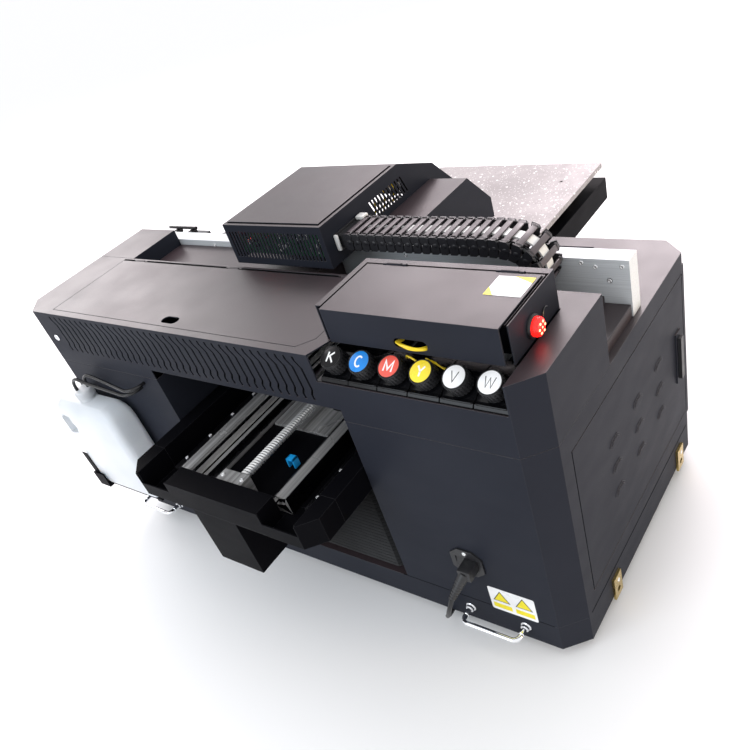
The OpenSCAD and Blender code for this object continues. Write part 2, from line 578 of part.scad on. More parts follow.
// ---- table ----
module table_plate() placed() color("#8f8986") difference() {
    block([mid_x - table_w / 2, table_y0, table_z - table_t], [mid_x + table_w / 2, table_y0 + table_l, table_z]);
    for (s = [-1, 1], y = [363, 813]) bar_z(mid_x + s * 144.5, y, 3, table_z - 3, table_z + 1);
}
module table_blocks() placed() color("#9b9da1") {
    for (s = [-1, 1], y = [333, 783]) let(x = mid_x + s * 144.5) difference() {
        block([x - 17, y, 252], [x + 17, y + 60, table_z - table_t]);
        block([x - 7.8, y - 1, 250], [x + 7.8, y + 61, 264]);
    }
    block([mid_x - 161, 533, 305], [mid_x + 161, 633, table_z - table_t]);
    difference() {
        union() {
            bar_y(mid_x, screw_z, 14, 560, 606);
            block([mid_x - 22, 574, 272], [mid_x + 22, 592, 306]);
        }
        bar_y(mid_x, screw_z, screw_r + run_gap, 559, 607);
    }
}

// ---- mains lead ----
module c13_connector() placed() color("#121214") {
    difference() {
        block([inlet_x - 2.8, -26, inlet_z - 9.8], [inlet_x + 17.8, 15, inlet_z + 9.8]);
        for (x = [2, 13]) block([inlet_x + x - 1.5, 5, inlet_z - 2], [inlet_x + x + 1.5, 16, inlet_z + 2]);
    }
    // strain relief, tapering to the start of the lead
    root = [inlet_x + 6, -21, inlet_z];
    run = CORD[0] - root;
    translate(root) rotate([0, acos(run[2] / norm(run)), atan2(run[1], run[0])])
        cylinder(r1 = 8, r2 = 4.6, h = norm(run));
}
module power_cord() placed() color("#121214") { tube(CORD, cord_r, 8); tube(CORD_END, cord_r, 8); }
module cord_coil() placed() color("#121214") translate([cord_x - coil_r, coil_y, 0.1 - foot_h])
    rotate_extrude() translate([coil_r - 7, 0]) square([14, 14]);
module mains_plug() placed() color("#121214") {
    bar_y(840, 18.2 - foot_h, 18, plug_y, plug_y + 36);
    for (x = [830.5, 849.5]) bar_y(x, 18.2 - foot_h, 2.4, plug_y + 36, plug_y + 55);
}

plinth();
feet();
left_pedestal();
right_pedestal();
rear_deck();
front_cover();
rear_left_cover();
recess_tray();
gantry_beam();
gantry_rail();
ink_housing();
ink_bottles();
alarm_lamp();
hinge_pins();
front_handles();
mounting_lugs();
power_inlet();
waste_can();
can_bracket();
waste_hoses();
lift_bellows();
guide_sleeves();
electronics();
capping_station();
stepper_motors();
chain_lower();
service_lid();
ink_lid();
ink_cap_1();
ink_cap_2();
ink_cap_3();
ink_cap_4();
ink_cap_5();
ink_cap_6();
side_door();
door_lever();
rocker_switch();
carriage_hood();
hood_panel();
carriage_plate();
print_heads();
uv_lamp();
chain_clamp();
chain_upper();
chain_bend();
trough();
trough_wings();
y_motor_cover();
y_profiles();
y_rails();
screw_blocks();
guide_rods();
ball_screw();
table_plate();
table_blocks();
lift_screw();
c13_connector();
power_cord();
cord_coil();
mains_plug();
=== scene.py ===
"""Looks of the flatbed UV printer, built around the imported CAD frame. Lengths are in metres."""
import math
import random

import bmesh
import bpy
from mathutils import Matrix, Vector


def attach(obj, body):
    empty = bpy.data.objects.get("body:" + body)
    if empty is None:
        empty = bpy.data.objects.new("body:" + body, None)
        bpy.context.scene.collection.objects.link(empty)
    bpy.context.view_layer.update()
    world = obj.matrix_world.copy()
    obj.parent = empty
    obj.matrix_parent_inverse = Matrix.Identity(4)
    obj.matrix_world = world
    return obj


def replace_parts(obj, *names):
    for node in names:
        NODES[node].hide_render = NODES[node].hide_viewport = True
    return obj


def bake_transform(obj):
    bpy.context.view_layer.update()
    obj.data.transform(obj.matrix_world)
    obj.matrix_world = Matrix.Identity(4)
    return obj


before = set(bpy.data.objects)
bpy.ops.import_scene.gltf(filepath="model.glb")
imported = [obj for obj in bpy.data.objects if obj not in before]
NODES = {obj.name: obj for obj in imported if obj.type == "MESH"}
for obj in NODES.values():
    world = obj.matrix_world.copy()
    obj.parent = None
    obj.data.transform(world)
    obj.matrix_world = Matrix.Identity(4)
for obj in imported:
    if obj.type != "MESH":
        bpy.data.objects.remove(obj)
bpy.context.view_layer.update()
rnd = random.Random(7)

# the frame's origin, in millimetres from the cabinet's front left corner, z up from the plinth's underside
ORIGIN_X, ORIGIN_Y, ORIGIN_Z = 500, 385, -22
# places in the CAD source, in the same millimetres
MID_X = 506.5            # middle of the table tunnel
SCREW_Z = 268            # ball screw height
BEAM_FRONT = 295         # front face of the gantry beam
COVER_TOP = 480.5
LID_TOP = 533.2
WELL_X, BOTTLE_PITCH = 691, 45.6
RAIL_OFFSET = 144.5      # rails, from the middle
HOOD_X0, HOOD_X1, HOOD_TOP = 366, 574, 545


def at(x, y, z):
    """The frame's point for a place in cabinet millimetres."""
    return Vector(((x - ORIGIN_X) / 1000, (y - ORIGIN_Y) / 1000, (z - ORIGIN_Z) / 1000))


def mm(v):
    """Millimetres as metres."""
    return v / 1000


def pairs_mm(pairs):
    """Pairs of millimetres as metres."""
    return [(mm(u), mm(v)) for u, v in pairs]


# ---- materials
class Mat:
    """A principled material with node helpers."""

    def __init__(self, name, color, rough=0.5, metal=0.0, **sockets):
        self.mat = bpy.data.materials.new(name)
        self.mat.use_nodes = True
        self.tree = self.mat.node_tree
        self.shader = self.tree.nodes["Principled BSDF"]
        self.set("Base Color", (*color, 1))
        self.set("Roughness", rough)
        self.set("Metallic", metal)
        for key, value in sockets.items():
            self.set(key.replace("_", " "), value)
        self.normal = None

    def set(self, socket, value):
        self.shader.inputs[socket].default_value = value

    def node(self, kind, **values):
        """A new node; each value sets an attribute or, if there is none, an input."""
        n = self.tree.nodes.new(kind)
        for key, value in values.items():
            if hasattr(n, key):
                setattr(n, key, value)
            else:
                n.inputs[key.replace("_", " ")].default_value = value
        return n

    def link(self, a, b):
        self.tree.links.new(a, b)

    def where(self, scale=(1, 1, 1)):
        """Object coordinates, stretched."""
        coord = self.node("ShaderNodeTexCoord")
        mapping = self.node("ShaderNodeMapping")
        mapping.inputs["Scale"].default_value = scale
        self.link(coord.outputs["Object"], mapping.inputs["Vector"])
        return mapping.outputs["Vector"]

    def noise(self, scale, detail=3, stretch=(1, 1, 1)):
        n = self.node("ShaderNodeTexNoise", Scale=scale, Detail=detail)
        self.link(self.where(stretch), n.inputs["Vector"])
        return n.outputs["Fac"]

    def ramp(self, fac, stops):
        n = self.node("ShaderNodeValToRGB")
        while len(n.color_ramp.elements) < len(stops):
            n.color_ramp.elements.new(0.5)
        for e, (pos, color) in zip(n.color_ramp.elements, stops):
            e.position = pos
            e.color = (*color, 1) if hasattr(color, "__len__") else (color, color, color, 1)
        self.link(fac, n.inputs["Fac"])
        return n.outputs["Color"]

    def into(self, socket, out):
        self.link(out, self.shader.inputs[socket])

    def bump(self, height, strength, distance=0.0005):
        n = self.node("ShaderNodeBump", Strength=strength, Distance=distance)
        self.link(height, n.inputs["Height"])
        if self.normal is not None:
            self.link(self.normal, n.inputs["Normal"])
        self.normal = n.outputs["Normal"]
        self.link(self.normal, self.shader.inputs["Normal"])

    def soft_edges(self, radius):
        """Rounds sharp edges in the shading and gives back a mask of them."""
        n = self.node("ShaderNodeBevel", samples=4)
        n.inputs["Radius"].default_value = radius
        self.normal = n.outputs["Normal"]
        self.link(self.normal, self.shader.inputs["Normal"])
        geo = self.node("ShaderNodeNewGeometry")
        dot = self.node("ShaderNodeVectorMath", operation="DOT_PRODUCT")
        self.link(n.outputs["Normal"], dot.inputs[0])
        self.link(geo.outputs["Normal"], dot.inputs[1])
        return dot.outputs["Value"]


def two(dark, light, low=0.35, high=0.65):
    """Two stops of a ramp."""
    return [(low, dark), (high, light)]


def powder(name, base, rough=0.42, grain=1.0, edge=0.2, painted_sheen_tint=(1, 1, 1), spec=0.36):
    """Fine textured powder coat: orange peel, faint dust and paler edges, a painted highlight along the
    sharp edges.
    """
    m = Mat(name, base, rough, Specular_IOR_Level=spec)
    painted_edge_highlight_mask = m.soft_edges(mm(0.9))
    cloud = m.noise(5, 4)
    # the tint on the paler end of the noise: on the tops, a painted pinkish sheen
    body = m.ramp(cloud, two([c * 0.93 for c in base], [c * 1.08 * w for c, w in zip(base, painted_sheen_tint)]))
    # painted highlight: near sharp edges the colour goes towards the grey that edge sets
    edges = m.ramp(painted_edge_highlight_mask, [(0.86, 1.0), (0.985, 0.0)])
    mix = m.node("ShaderNodeMix", data_type="RGBA")
    m.link(edges, mix.inputs["Factor"])
    m.link(body, mix.inputs[6])
    mix.inputs[7].default_value = (edge * 0.6, edge * 0.6, edge * 0.66, 1)
    m.into("Base Color", mix.outputs[2])
    smear = m.noise(14, 6, (1, 1, 2.5))
    m.into("Roughness", m.ramp(smear, two(rough - 0.02, rough + 0.04)))
    m.bump(m.noise(950, 2), 0.16 * grain, 0.0004)
    m.bump(m.noise(2600, 1), 0.10 * grain, 0.0002)
    return m.mat


def metal(name, base, rough, stretch=(1, 1, 1), streak=0.35, bump=0.05, share=1.0):
    """Metal with fine lines along the axis whose stretch is small."""
    m = Mat(name, base, rough, share)
    m.soft_edges(mm(0.5))
    lines = m.noise(600, 4, stretch)
    m.into("Base Color", m.ramp(lines, two([c * (1 - streak) for c in base], base, 0.3, 0.7)))
    broad = m.noise(9, 4)
    m.into("Roughness", m.ramp(broad, two(rough * 0.8, min(1, rough * 1.35))))
    m.bump(lines, bump, 0.0003)
    return m.mat


def plastic(name, base, rough, grain=0.1, scale=700, edge=True, **more):
    """Moulded plastic or rubber, slightly uneven in colour and gloss."""
    m = Mat(name, base, rough, **more)
    if edge:
        m.soft_edges(mm(0.7))
    cloud = m.noise(20, 3)
    m.into("Base Color", m.ramp(cloud, two([c * 0.88 for c in base], [min(1, c * 1.1) for c in base])))
    m.into("Roughness", m.ramp(m.noise(45, 4), two(rough * 0.85, min(1, rough * 1.2))))
    m.bump(m.noise(scale, 2), grain, 0.0003)
    return m.mat


def glow(name, base, strength):
    """A lit, glossy part."""
    m = Mat(name, base, 0.25, Emission_Strength=strength)
    m.set("Emission Color", (*base, 1))
    m.into("Roughness", m.ramp(m.noise(300, 2), two(0.2, 0.35)))
    return m.mat


def speckled():
    """Blasted grey plate with pale and dark specks."""
    base = (0.27, 0.25, 0.25)
    m = Mat("table_speckle", base, 0.42, 0.25)
    m.soft_edges(mm(0.6))
    cloud = m.ramp(m.noise(7, 5), two([c * 0.86 for c in base], [c * 1.12 for c in base]))
    out = cloud
    for scale, cut, color in ((70, 0.12, (0.8, 0.79, 0.78)), (170, 0.16, (0.6, 0.59, 0.58)),
                              (120, 0.10, (0.16, 0.15, 0.15))):
        v = m.node("ShaderNodeTexVoronoi", Scale=scale)
        m.link(m.where(), v.inputs["Vector"])
        mix = m.node("ShaderNodeMix", data_type="RGBA")
        m.link(m.ramp(v.outputs["Distance"], [(cut, 1.0), (cut + 0.05, 0.0)]), mix.inputs["Factor"])
        m.link(out, mix.inputs[6])
        mix.inputs[7].default_value = (*color, 1)
        out = mix.outputs[2]
    m.into("Base Color", out)
    m.into("Roughness", m.ramp(m.noise(30, 4), two(0.34, 0.52)))
    m.bump(m.noise(1500, 2), 0.12, 0.0003)
    return m.mat


MAT = {
    # a powder's edge argument, the third number after its colour, sets how bright its painted edge highlight
    # is
    "cabinet": powder("cabinet_powder", (0.0185, 0.0205, 0.0285), 0.46, 1.0, 0.10, spec=0.06),
    # the top's paint: the cabinet's black paint again, made paler, pinker and glossier as painted sheen on
    # faces that look up
    "top": powder("top_powder_painted_sheen", (0.038, 0.029, 0.032), 0.36, 1.2, 0.2, (1.1, 1.0, 1.02), 0.5),
    "trough": powder("trough_powder", (0.0034, 0.0034, 0.0046), 0.40, 0.8, 0.06, spec=0.02),
    "board_bracket": powder("plate_powder", (0.3, 0.31, 0.32), 0.5),
    "aluminium": metal("drawn_aluminium", (0.70, 0.73, 0.75), 0.45, (0.0006, 1, 1), 0.2, share=0.12),
    "aluminium_y": metal("drawn_profile", (0.86, 0.85, 0.84), 0.24, (0.35, 0.0002, 0.35), 0.6, share=0.6),
    "steel": metal("ground_steel", (0.66, 0.66, 0.68), 0.24, (1, 1, 0.05)),
    "rail": metal("dark_rail", (0.10, 0.10, 0.11), 0.3, (1, 0.03, 1), 0.3),
    "screw": metal("screw_steel", (0.95, 0.95, 0.95), 0.14, (1, 1, 1), 0.05, share=0.6),
    "chrome": metal("chrome", (0.88, 0.89, 0.91), 0.05, (1, 1, 1), 0.04, 0.01),
    "zinc": metal("yellow_zinc", (0.78, 0.58, 0.22), 0.28, (1, 1, 1), 0.5, 0.08),
    "table": speckled(),
    "rubber": plastic("black_rubber", (0.014, 0.014, 0.015), 0.6, 0.2, 900),
    "bellows": plastic("bellows_cloth", (0.012, 0.012, 0.013), 0.55, 0.3, 1600),
    "gloss": plastic("gloss_black", (0.004, 0.004, 0.005), 0.16, 0.04, 300, Specular_IOR_Level=0.28),
    # near-black and dull: dark joints, and painted shade behind the front cover's slot
    "seam": plastic("dark_seam_and_shade", (0.002, 0.002, 0.002), 0.9, 0.02, 300, False, Specular_IOR_Level=0.03),
    "satin": plastic("satin_black", (0.016, 0.016, 0.018), 0.38, 0.12),
    "chain": plastic("chain_nylon", (0.014, 0.014, 0.017), 0.40, 0.15, 1200),
    "chain_bar": plastic("chain_bar_nylon", (0.085, 0.070, 0.076), 0.42, 0.15, 1200),
    "hose": plastic("gloss_hose", (0.006, 0.006, 0.007), 0.22, 0.03, 300, False),
    "cord": plastic("cord_sheath", (0.008, 0.008, 0.009), 0.4, 0.08, 900, False),
    "white": plastic("white_plastic", (0.82, 0.82, 0.80), 0.4, 0.05),
    "board": plastic("circuit_board", (0.02, 0.13, 0.05), 0.4, 0.3, 260),
    "grey": plastic("grey_plastic", (0.16, 0.16, 0.17), 0.45, 0.1),
    "yellow": plastic("yellow_sleeve", (0.9, 0.66, 0.02), 0.35, 0.04, 300, False),
    "blue": plastic("blue_clip", (0.01, 0.36, 0.82), 0.35, 0.05),
    "red_lens": glow("lit_lens", (1.0, 0.008, 0.006), 2.6),
    "led": glow("lit_led", (1.0, 0.42, 0.22), 3.0),
    "red_dot": glow("small_red_led", (1.0, 0.02, 0.01), 14.0),
    "ink_K": plastic("disc_black", (0.006, 0.005, 0.006), 0.35, 0.03, 300, False, Specular_IOR_Level=0.2),
    "ink_C": plastic("disc_blue", (0.001, 0.23, 0.72), 0.3, 0.03, 300, False),
    "ink_M": plastic("disc_coral", (0.80, 0.10, 0.07), 0.3, 0.03, 300, False),
    "ink_Y": plastic("disc_yellow", (0.90, 0.70, 0.035), 0.3, 0.03, 300, False),
    "ink_W": plastic("disc_white", (0.88, 0.88, 0.88), 0.3, 0.03, 300, False),
    "plate_yellow": plastic("plate_yellow", (0.88, 0.74, 0.0), 0.35, 0.03, 300, False),
    "plate_dark": plastic("plate_dark", (0.03, 0.03, 0.03), 0.4, 0.03, 300, False),
}


def cloudy():
    """Cloudy white polyethylene."""
    base = (0.90, 0.93, 0.96)
    m = Mat("cloudy_polythene", base, 0.34, Subsurface_Weight=0.35, Subsurface_Scale=0.02,
            Transmission_Weight=0.25, IOR=1.5)
    m.set("Subsurface Radius", (0.9, 1.0, 1.1))
    m.into("Base Color", m.ramp(m.noise(10, 3), two((0.76, 0.80, 0.84), (0.86, 0.89, 0.92))))
    m.into("Roughness", m.ramp(m.noise(40, 4), two(0.28, 0.42)))
    m.bump(m.noise(160, 3), 0.08, 0.0006)
    return m.mat


MAT["can"] = cloudy()

NODE_LOOK = {
    "cabinet": "plinth left_pedestal right_pedestal front_cover rear_left_cover ink_housing side_door "
               "carriage_hood uv_lamp",
    "top": "hinge_pins rear_deck recess_tray service_lid ink_lid hood_panel",
    "trough": "trough trough_wings y_motor_cover can_bracket",
    "aluminium": "gantry_beam carriage_plate",
    "aluminium_y": "y_profiles screw_blocks table_blocks",
    "steel": "gantry_rail guide_sleeves guide_rods lift_screw",
    "rail": "y_rails", "screw": "ball_screw", "chrome": "front_handles", "zinc": "mounting_lugs",
    "table": "table_plate", "rubber": "feet", "bellows": "lift_bellows", "gloss": "ink_bottles",
    "satin": "ink_cap_1 ink_cap_2 ink_cap_3 ink_cap_4 ink_cap_5 ink_cap_6 power_inlet rocker_switch "
             "door_lever c13_connector mains_plug capping_station stepper_motors chain_clamp",
    "chain": "chain_lower chain_upper chain_bend", "red_lens": "alarm_lamp", "can": "waste_can",
    "hose": "waste_hoses", "board_bracket": "electronics", "grey": "print_heads",
    "cord": "power_cord cord_coil",
}
# each painted look's paired copy: the top's paint is the lit copy with painted sheen, the cabinet's the
# shaded one
LIT_SHADED_PAINT_PAIR = {"cabinet": "top", "top": "cabinet"}
UP = 0.7                                    # a face whose normal rises more than this looks up
GROOVES = ((254, 261.5), (268.5, 275.5))    # heights of the grooves in the table profiles


def dress_nodes():
    """Gives every CAD node its look. Painted faces that look up get the top's paint, the lit copy of the
    same black paint with painted sheen; the other painted faces get the darker cabinet copy.
    """
    for look, names in NODE_LOOK.items():
        for name in names.split():
            node = NODES[name]
            node.data.materials.clear()
            node.data.materials.append(MAT[look])
            if look in LIT_SHADED_PAINT_PAIR:
                node.data.materials.append(MAT[LIT_SHADED_PAINT_PAIR[look]])
            turn = node.matrix_world.to_3x3()
            for p in node.data.polygons:
                looks_up = (turn @ p.normal).normalized().z > UP
                p.material_index = int(look in LIT_SHADED_PAINT_PAIR and looks_up == (look == "cabinet"))


def darken_grooves():
    """The profiles' grooves hold dirt and shade."""
    profiles = NODES["y_profiles"]
    profiles.data.materials.append(MAT["rail"])
    for p in profiles.data.polygons:
        z = (profiles.matrix_world @ p.center).z * 1000 + ORIGIN_Z
        p.material_index = int(any(low < z < high for low, high in GROOVES))


dress_nodes()
darken_grooves()


# ---- mesh helpers
def piece(name, verts, faces, look, body, smooth=False, more_looks=(), face_looks=None):
    """A new mesh that rides on body, or on nothing when no body is given."""
    mesh = bpy.data.meshes.new(name)
    mesh.from_pydata([tuple(v) for v in verts], [], faces)
    mesh.validate()
    obj = bpy.data.objects.new(name, mesh)
    bpy.context.scene.collection.objects.link(obj)
    for k in (look, *more_looks):
        mesh.materials.append(MAT[k])
    if face_looks:
        for p, i in zip(mesh.polygons, face_looks):
            p.material_index = i
    bm = bmesh.new()
    bm.from_mesh(mesh)
    bmesh.ops.recalc_face_normals(bm, faces=bm.faces)
    bm.to_mesh(mesh)
    bm.free()
    if smooth:
        mesh.polygons.foreach_set("use_smooth", [True] * len(mesh.polygons))
        mesh.set_sharp_from_angle(angle=math.radians(40))
    if body:
        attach(obj, body)
    return obj


# faces of a block given by the four corners of one end and then of the other
BLOCK_FACES = [[0, 1, 5, 4], [1, 2, 6, 5], [2, 3, 7, 6], [3, 0, 4, 7], [3, 2, 1, 0], [4, 5, 6, 7]]


class Build:
    """Collects closed shapes into one mesh."""

    def __init__(self):
        self.v, self.f, self.m = [], [], []

    def add(self, verts, faces, mat=0):
        n = len(self.v)
        self.v += [Vector(v) for v in verts]
        self.f += [[i + n for i in f] for f in faces]
        self.m += [mat] * len(faces)

    def box(self, a, b, mat=0, cut=0.0, place=None):
        """A block between two corners, its edges cut by cut."""
        bm = bmesh.new()
        bmesh.ops.create_cube(bm, size=1)
        size, mid = [q - p for p, q in zip(a, b)], [(p + q) / 2 for p, q in zip(a, b)]
        for v in bm.verts:
            v.co = Vector([c * s + m for c, s, m in zip(v.co, size, mid)])
        if cut:
            bmesh.ops.bevel(bm, geom=bm.edges[:], offset=cut, segments=2, profile=0.6, affect="EDGES")
        self.take(bm, mat, place)

    def take(self, bm, mat=0, place=None):
        """Adds a bmesh and frees it."""
        bm.verts.index_update()
        pts = [(place @ v.co if place else v.co.copy()) for v in bm.verts]
        self.add(pts, [[v.index for v in f.verts] for f in bm.faces], mat)
        bm.free()

    def lathe(self, profile, place, n=32, mat=0):
        """Turns [(radius, height)] about local Z. Ends are closed."""
        verts = []
        for r, z in profile:
            for k in range(n):
                t = 2 * math.pi * k / n
                verts.append(place @ Vector((r * math.cos(t), r * math.sin(t), z)))
        last = (len(profile) - 1) * n
        faces = ring_faces(len(profile), n) + [list(range(n))[::-1], [last + k for k in range(n)]]
        self.add(verts, faces, mat)

    def tube(self, pts, r, n=10, mat=0):
        """A round tube along points; r may be one radius or one for each point."""
        pts = [Vector(p) for p in pts]
        rs = r if hasattr(r, "__len__") else [r] * len(pts)
        side, verts = None, []
        for i, p in enumerate(pts):
            t = (pts[min(i + 1, len(pts) - 1)] - pts[max(i - 1, 0)]).normalized()
            if side is None:
                side = t.cross(Vector((0, 0, 1)) if abs(t.z) < 0.9 else Vector((1, 0, 0))).normalized()
            side = (side - t * side.dot(t)).normalized()
            up = t.cross(side)
            for k in range(n):
                a = 2 * math.pi * k / n
                verts.append(p + rs[i] * (math.cos(a) * side + math.sin(a) * up))
        last = (len(pts) - 1) * n
        faces = ring_faces(len(pts), n) + [list(range(n))[::-1], [last + k for k in range(n)]]
        self.add(verts, faces, mat)

    def prism(self, outline, a, b, mat=0):
        """outline points moved by a and by b, closed between."""
        n = len(outline)
        verts = [Vector(p) + Vector(a) for p in outline] + [Vector(p) + Vector(b) for p in outline]
        faces = [list(range(n))[::-1], list(range(n, 2 * n))]
        faces += [[i, (i + 1) % n, (i + 1) % n + n, i + n] for i in range(n)]
        self.add(verts, faces, mat)

    def make(self, name, look, body, smooth=True, more_looks=()):
        return piece(name, self.v, self.f, look, body, smooth, more_looks, self.m)


def ring_faces(rings, n):
    """Faces between rings of n points each."""
    faces = []
    for i in range(rings - 1):
        for k in range(n):
            j = (k + 1) % n
            faces.append([i * n + k, i * n + j, (i + 1) * n + j, (i + 1) * n + k])
    return faces


def smooth_path(pts, steps=6):
    """Catmull-Rom line through the points."""
    pts = [Vector(p) for p in pts]
    out = []
    for i in range(len(pts) - 1):
        a, b, c, d = pts[max(i - 1, 0)], pts[i], pts[i + 1], pts[min(i + 2, len(pts) - 1)]
        for k in range(steps):
            t = k / steps
            out.append(0.5 * (2 * b + (c - a) * t + (2 * a - 5 * b + 4 * c - d) * t * t
                              + (3 * b - 3 * c + d - a) * t ** 3))
    return out + [pts[-1]]


def turned(origin, axis, spin=0.0):
    """Places local Z along axis at origin."""
    z = Vector(axis).normalized()
    lean = z.to_track_quat("Z", "Y").to_matrix().to_4x4()
    return Matrix.Translation(origin) @ lean @ Matrix.Rotation(spin, 4, "Z")


# ---- camera
cam = bpy.data.objects.new("camera", bpy.data.cameras.new("camera"))
bpy.context.scene.collection.objects.link(cam)
cam.location = (0.82705, -0.90528, 0.96973)
cam.rotation_euler = [math.radians(a) for a in (50.693, 15.171, 33.257)]
cam.data.lens = 35.711
cam.data.shift_x = -0.03516
cam.data.shift_y = 0.07844
cam.data.clip_start = 0.02
bpy.context.scene.camera = cam

# ---- mains lead and waste hoses
CORD_R = 3.5
FLOOR = ORIGIN_Z + CORD_R + 0.1   # height of the lead's middle where it lies on the floor
LEAD = [(835, -49, 113), (832, -52, 102), (827, -53, 88), (820, -50, 72), (811, -44, 56), (802, -36, 40),
        (793, -27, 24), (785, -17, 9), (778, -5, -4), (773, 9, -13), (770, 25, FLOOR + 0.6),
        (768, 45, FLOOR), (768, 80, FLOOR), (768, 130, FLOOR), (768, 200, FLOOR), (768, 280, FLOOR),
        (768, 360, FLOOR), (768, 430, FLOOR), (769, 490, FLOOR), (771.5, 530, FLOOR)]
COIL = (730, 556)                   # middle of the coil
OUTER, INNER, LAYER = 41.8, 34.2, 7.2
STEP_IN, CLIMB, STEP_OUT = (270, 330), (570, 630), (895, 960)   # degrees along the coil
COIL_END, COIL_STEP = 976, 15
PLUG, PIN_GAP = (840, 540, -3.8), 19
TAIL = [(735, 511.4, FLOOR + LAYER), (755, 507.5, FLOOR + LAYER + 0.4), (775, 506, FLOOR + LAYER + 0.6),
        (795, 507, FLOOR + 9), (813, 511, FLOOR + 11), (828, 519, FLOOR + 13), (837, 530, FLOOR + 14.4),
        (840, 541, -3.8)]


def ease(a, low, high):
    """Goes smoothly from 0 at low to 1 at high."""
    t = min(1, max(0, (a - low) / (high - low)))
    return t * t * (3 - 2 * t)


def coil_points():
    """Two turns side by side and one on top of them, then out towards the plug."""
    pts = []
    for a in range(0, COIL_END, COIL_STEP):
        r = OUTER + (INNER - OUTER) * ease(a, *STEP_IN) + (OUTER - INNER) * ease(a, *STEP_OUT)
        z = FLOOR + LAYER * ease(a, *CLIMB)
        t = math.radians(a)
        pts.append((COIL[0] + r * math.cos(t), COIL[1] + r * math.sin(t), z))
    return pts


lead_line = [at(*p) for p in LEAD + coil_points() + TAIL]
lead_path = smooth_path(lead_line, 3)
lead_build = Build()
lead_build.tube(lead_path, mm(CORD_R), 12)
lead = lead_build.make("mains_lead", "cord", "base")
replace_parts(lead, "power_cord", "cord_coil")


def plug_piece():
    """Round two-pin plug with ribs for the fingers."""
    b = Build()
    back = turned(at(*PLUG), (0, 1, 0))
    b.lathe([(0.0045, -0.0005), (0.006, 0.002), (0.0105, 0.006), (0.0165, 0.010), (0.0178, 0.013),
             (0.0178, 0.031), (0.0172, 0.0335), (0.0155, 0.0355)], back, 40)
    for i in range(5):
        b.lathe([(0.0176, 0), (0.018, 0.0006), (0.018, 0.0012), (0.0176, 0.0018)],
                back @ Matrix.Translation((0, 0, 0.015 + 0.0032 * i)), 40)
    for side in (-1, 1):
        pin_root = at(PLUG[0] + side * PIN_GAP / 2, PLUG[1] + 35.5, PLUG[2])
        b.lathe([(0.0024, 0), (0.0024, 0.0165), (0.0022, 0.018), (0.001, 0.019)],
                turned(pin_root, (0, 1, 0)), 16, 1)
    return b.make("lead_plug", "satin", "base", True, ("chrome",))


plug = plug_piece()
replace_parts(plug, "mains_plug")


def connector_piece():
    """Moulded connector with a ribbed, tapering strain relief."""
    b = Build()
    b.box(at(839.2, -26, 133.2), at(859.8, -0.2, 152.8), 0, 0.002)
    root, tip = at(848, -21, 143), at(*LEAD[0])
    run = tip - root
    place = turned(root, run)
    long = run.length
    b.lathe([(0.0086, 0), (0.0083, 0.008), (0.0046, long)], place, 28)
    for i in range(7):
        t = 0.3 + 0.62 * i / 6
        r = 0.0086 + (0.0047 - 0.0086) * t + 0.0006
        b.lathe([(r - 0.001, -0.0013), (r, -0.0006), (r, 0.0006), (r - 0.001, 0.0013)],
                place @ Matrix.Translation((0, 0, long * t)), 28)
    return b.make("lead_connector", "satin", "base")


connector = connector_piece()
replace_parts(connector, "c13_connector")

HOSE_BEND, HOSE_LEAD, NECK_TOP = 24, 4, 338.2


def hose_route(x, z, rise, y_step, neck_x, neck_y):
    """From the pedestal, round a bend, across, and round a bend down into the can's neck."""
    arc = [math.radians(a) for a in range(0, 91, 18)]
    pts = [(x, -0.1, z)]
    pts += [(x - HOSE_BEND + HOSE_BEND * math.cos(t), -HOSE_LEAD - HOSE_BEND * math.sin(t), z) for t in arc]
    pts += [(x - HOSE_BEND - 19 * k, -28 + y_step * k, z + rise * k) for k in range(1, 6)]
    pts += [(neck_x + HOSE_BEND - HOSE_BEND * math.sin(t), neck_y,
             NECK_TOP + HOSE_LEAD + HOSE_BEND * math.cos(t)) for t in arc]
    return [at(*p) for p in pts + [(neck_x, neck_y, NECK_TOP)]]


HOSE_R = 3
for label, args in (("upper", (262, 362, 0.7, 2, 98, -17)), ("lower", (246, 350, 2.6, -0.8, 84, -32))):
    line = smooth_path(hose_route(*args), 4)
    b = Build()
    b.tube(line, mm(HOSE_R), 12)
    hose = b.make("waste_hose_" + label, "hose", "base")
    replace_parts(hose, "waste_hoses")


# ---- drag chain
CHAIN_Y0, CHAIN_W, CHAIN_H, PITCH = 231, 60, 26, 15
CHAIN_ZU, CHAIN_ZL = 507, 432    # middles of the upper and the lower run
UPPER_X, LOWER_X = 588.2, 620    # where the runs start
DROOP_X, DROOP_R, DROOP_ANGLE = 820, 200, math.radians(12)
UPPER_LENGTH = DROOP_X - UPPER_X + DROOP_R * DROOP_ANGLE
BEND_LINKS = 7
PALE_FROM = 0.36                 # share of the upper run where the white cable starts
# cables in the chain: across, outward, radius and look
CABLES = ((-16, 0, 4.2, 3), (-8.5, 0, 2.4, 3), (11, -1, 3.5, 3), (19, 0, 2.6, 2))
FLAT_CABLE = [(-8.5, 7.6), (8.5, 7.6), (8.5, 10.3), (-8.5, 10.3)]


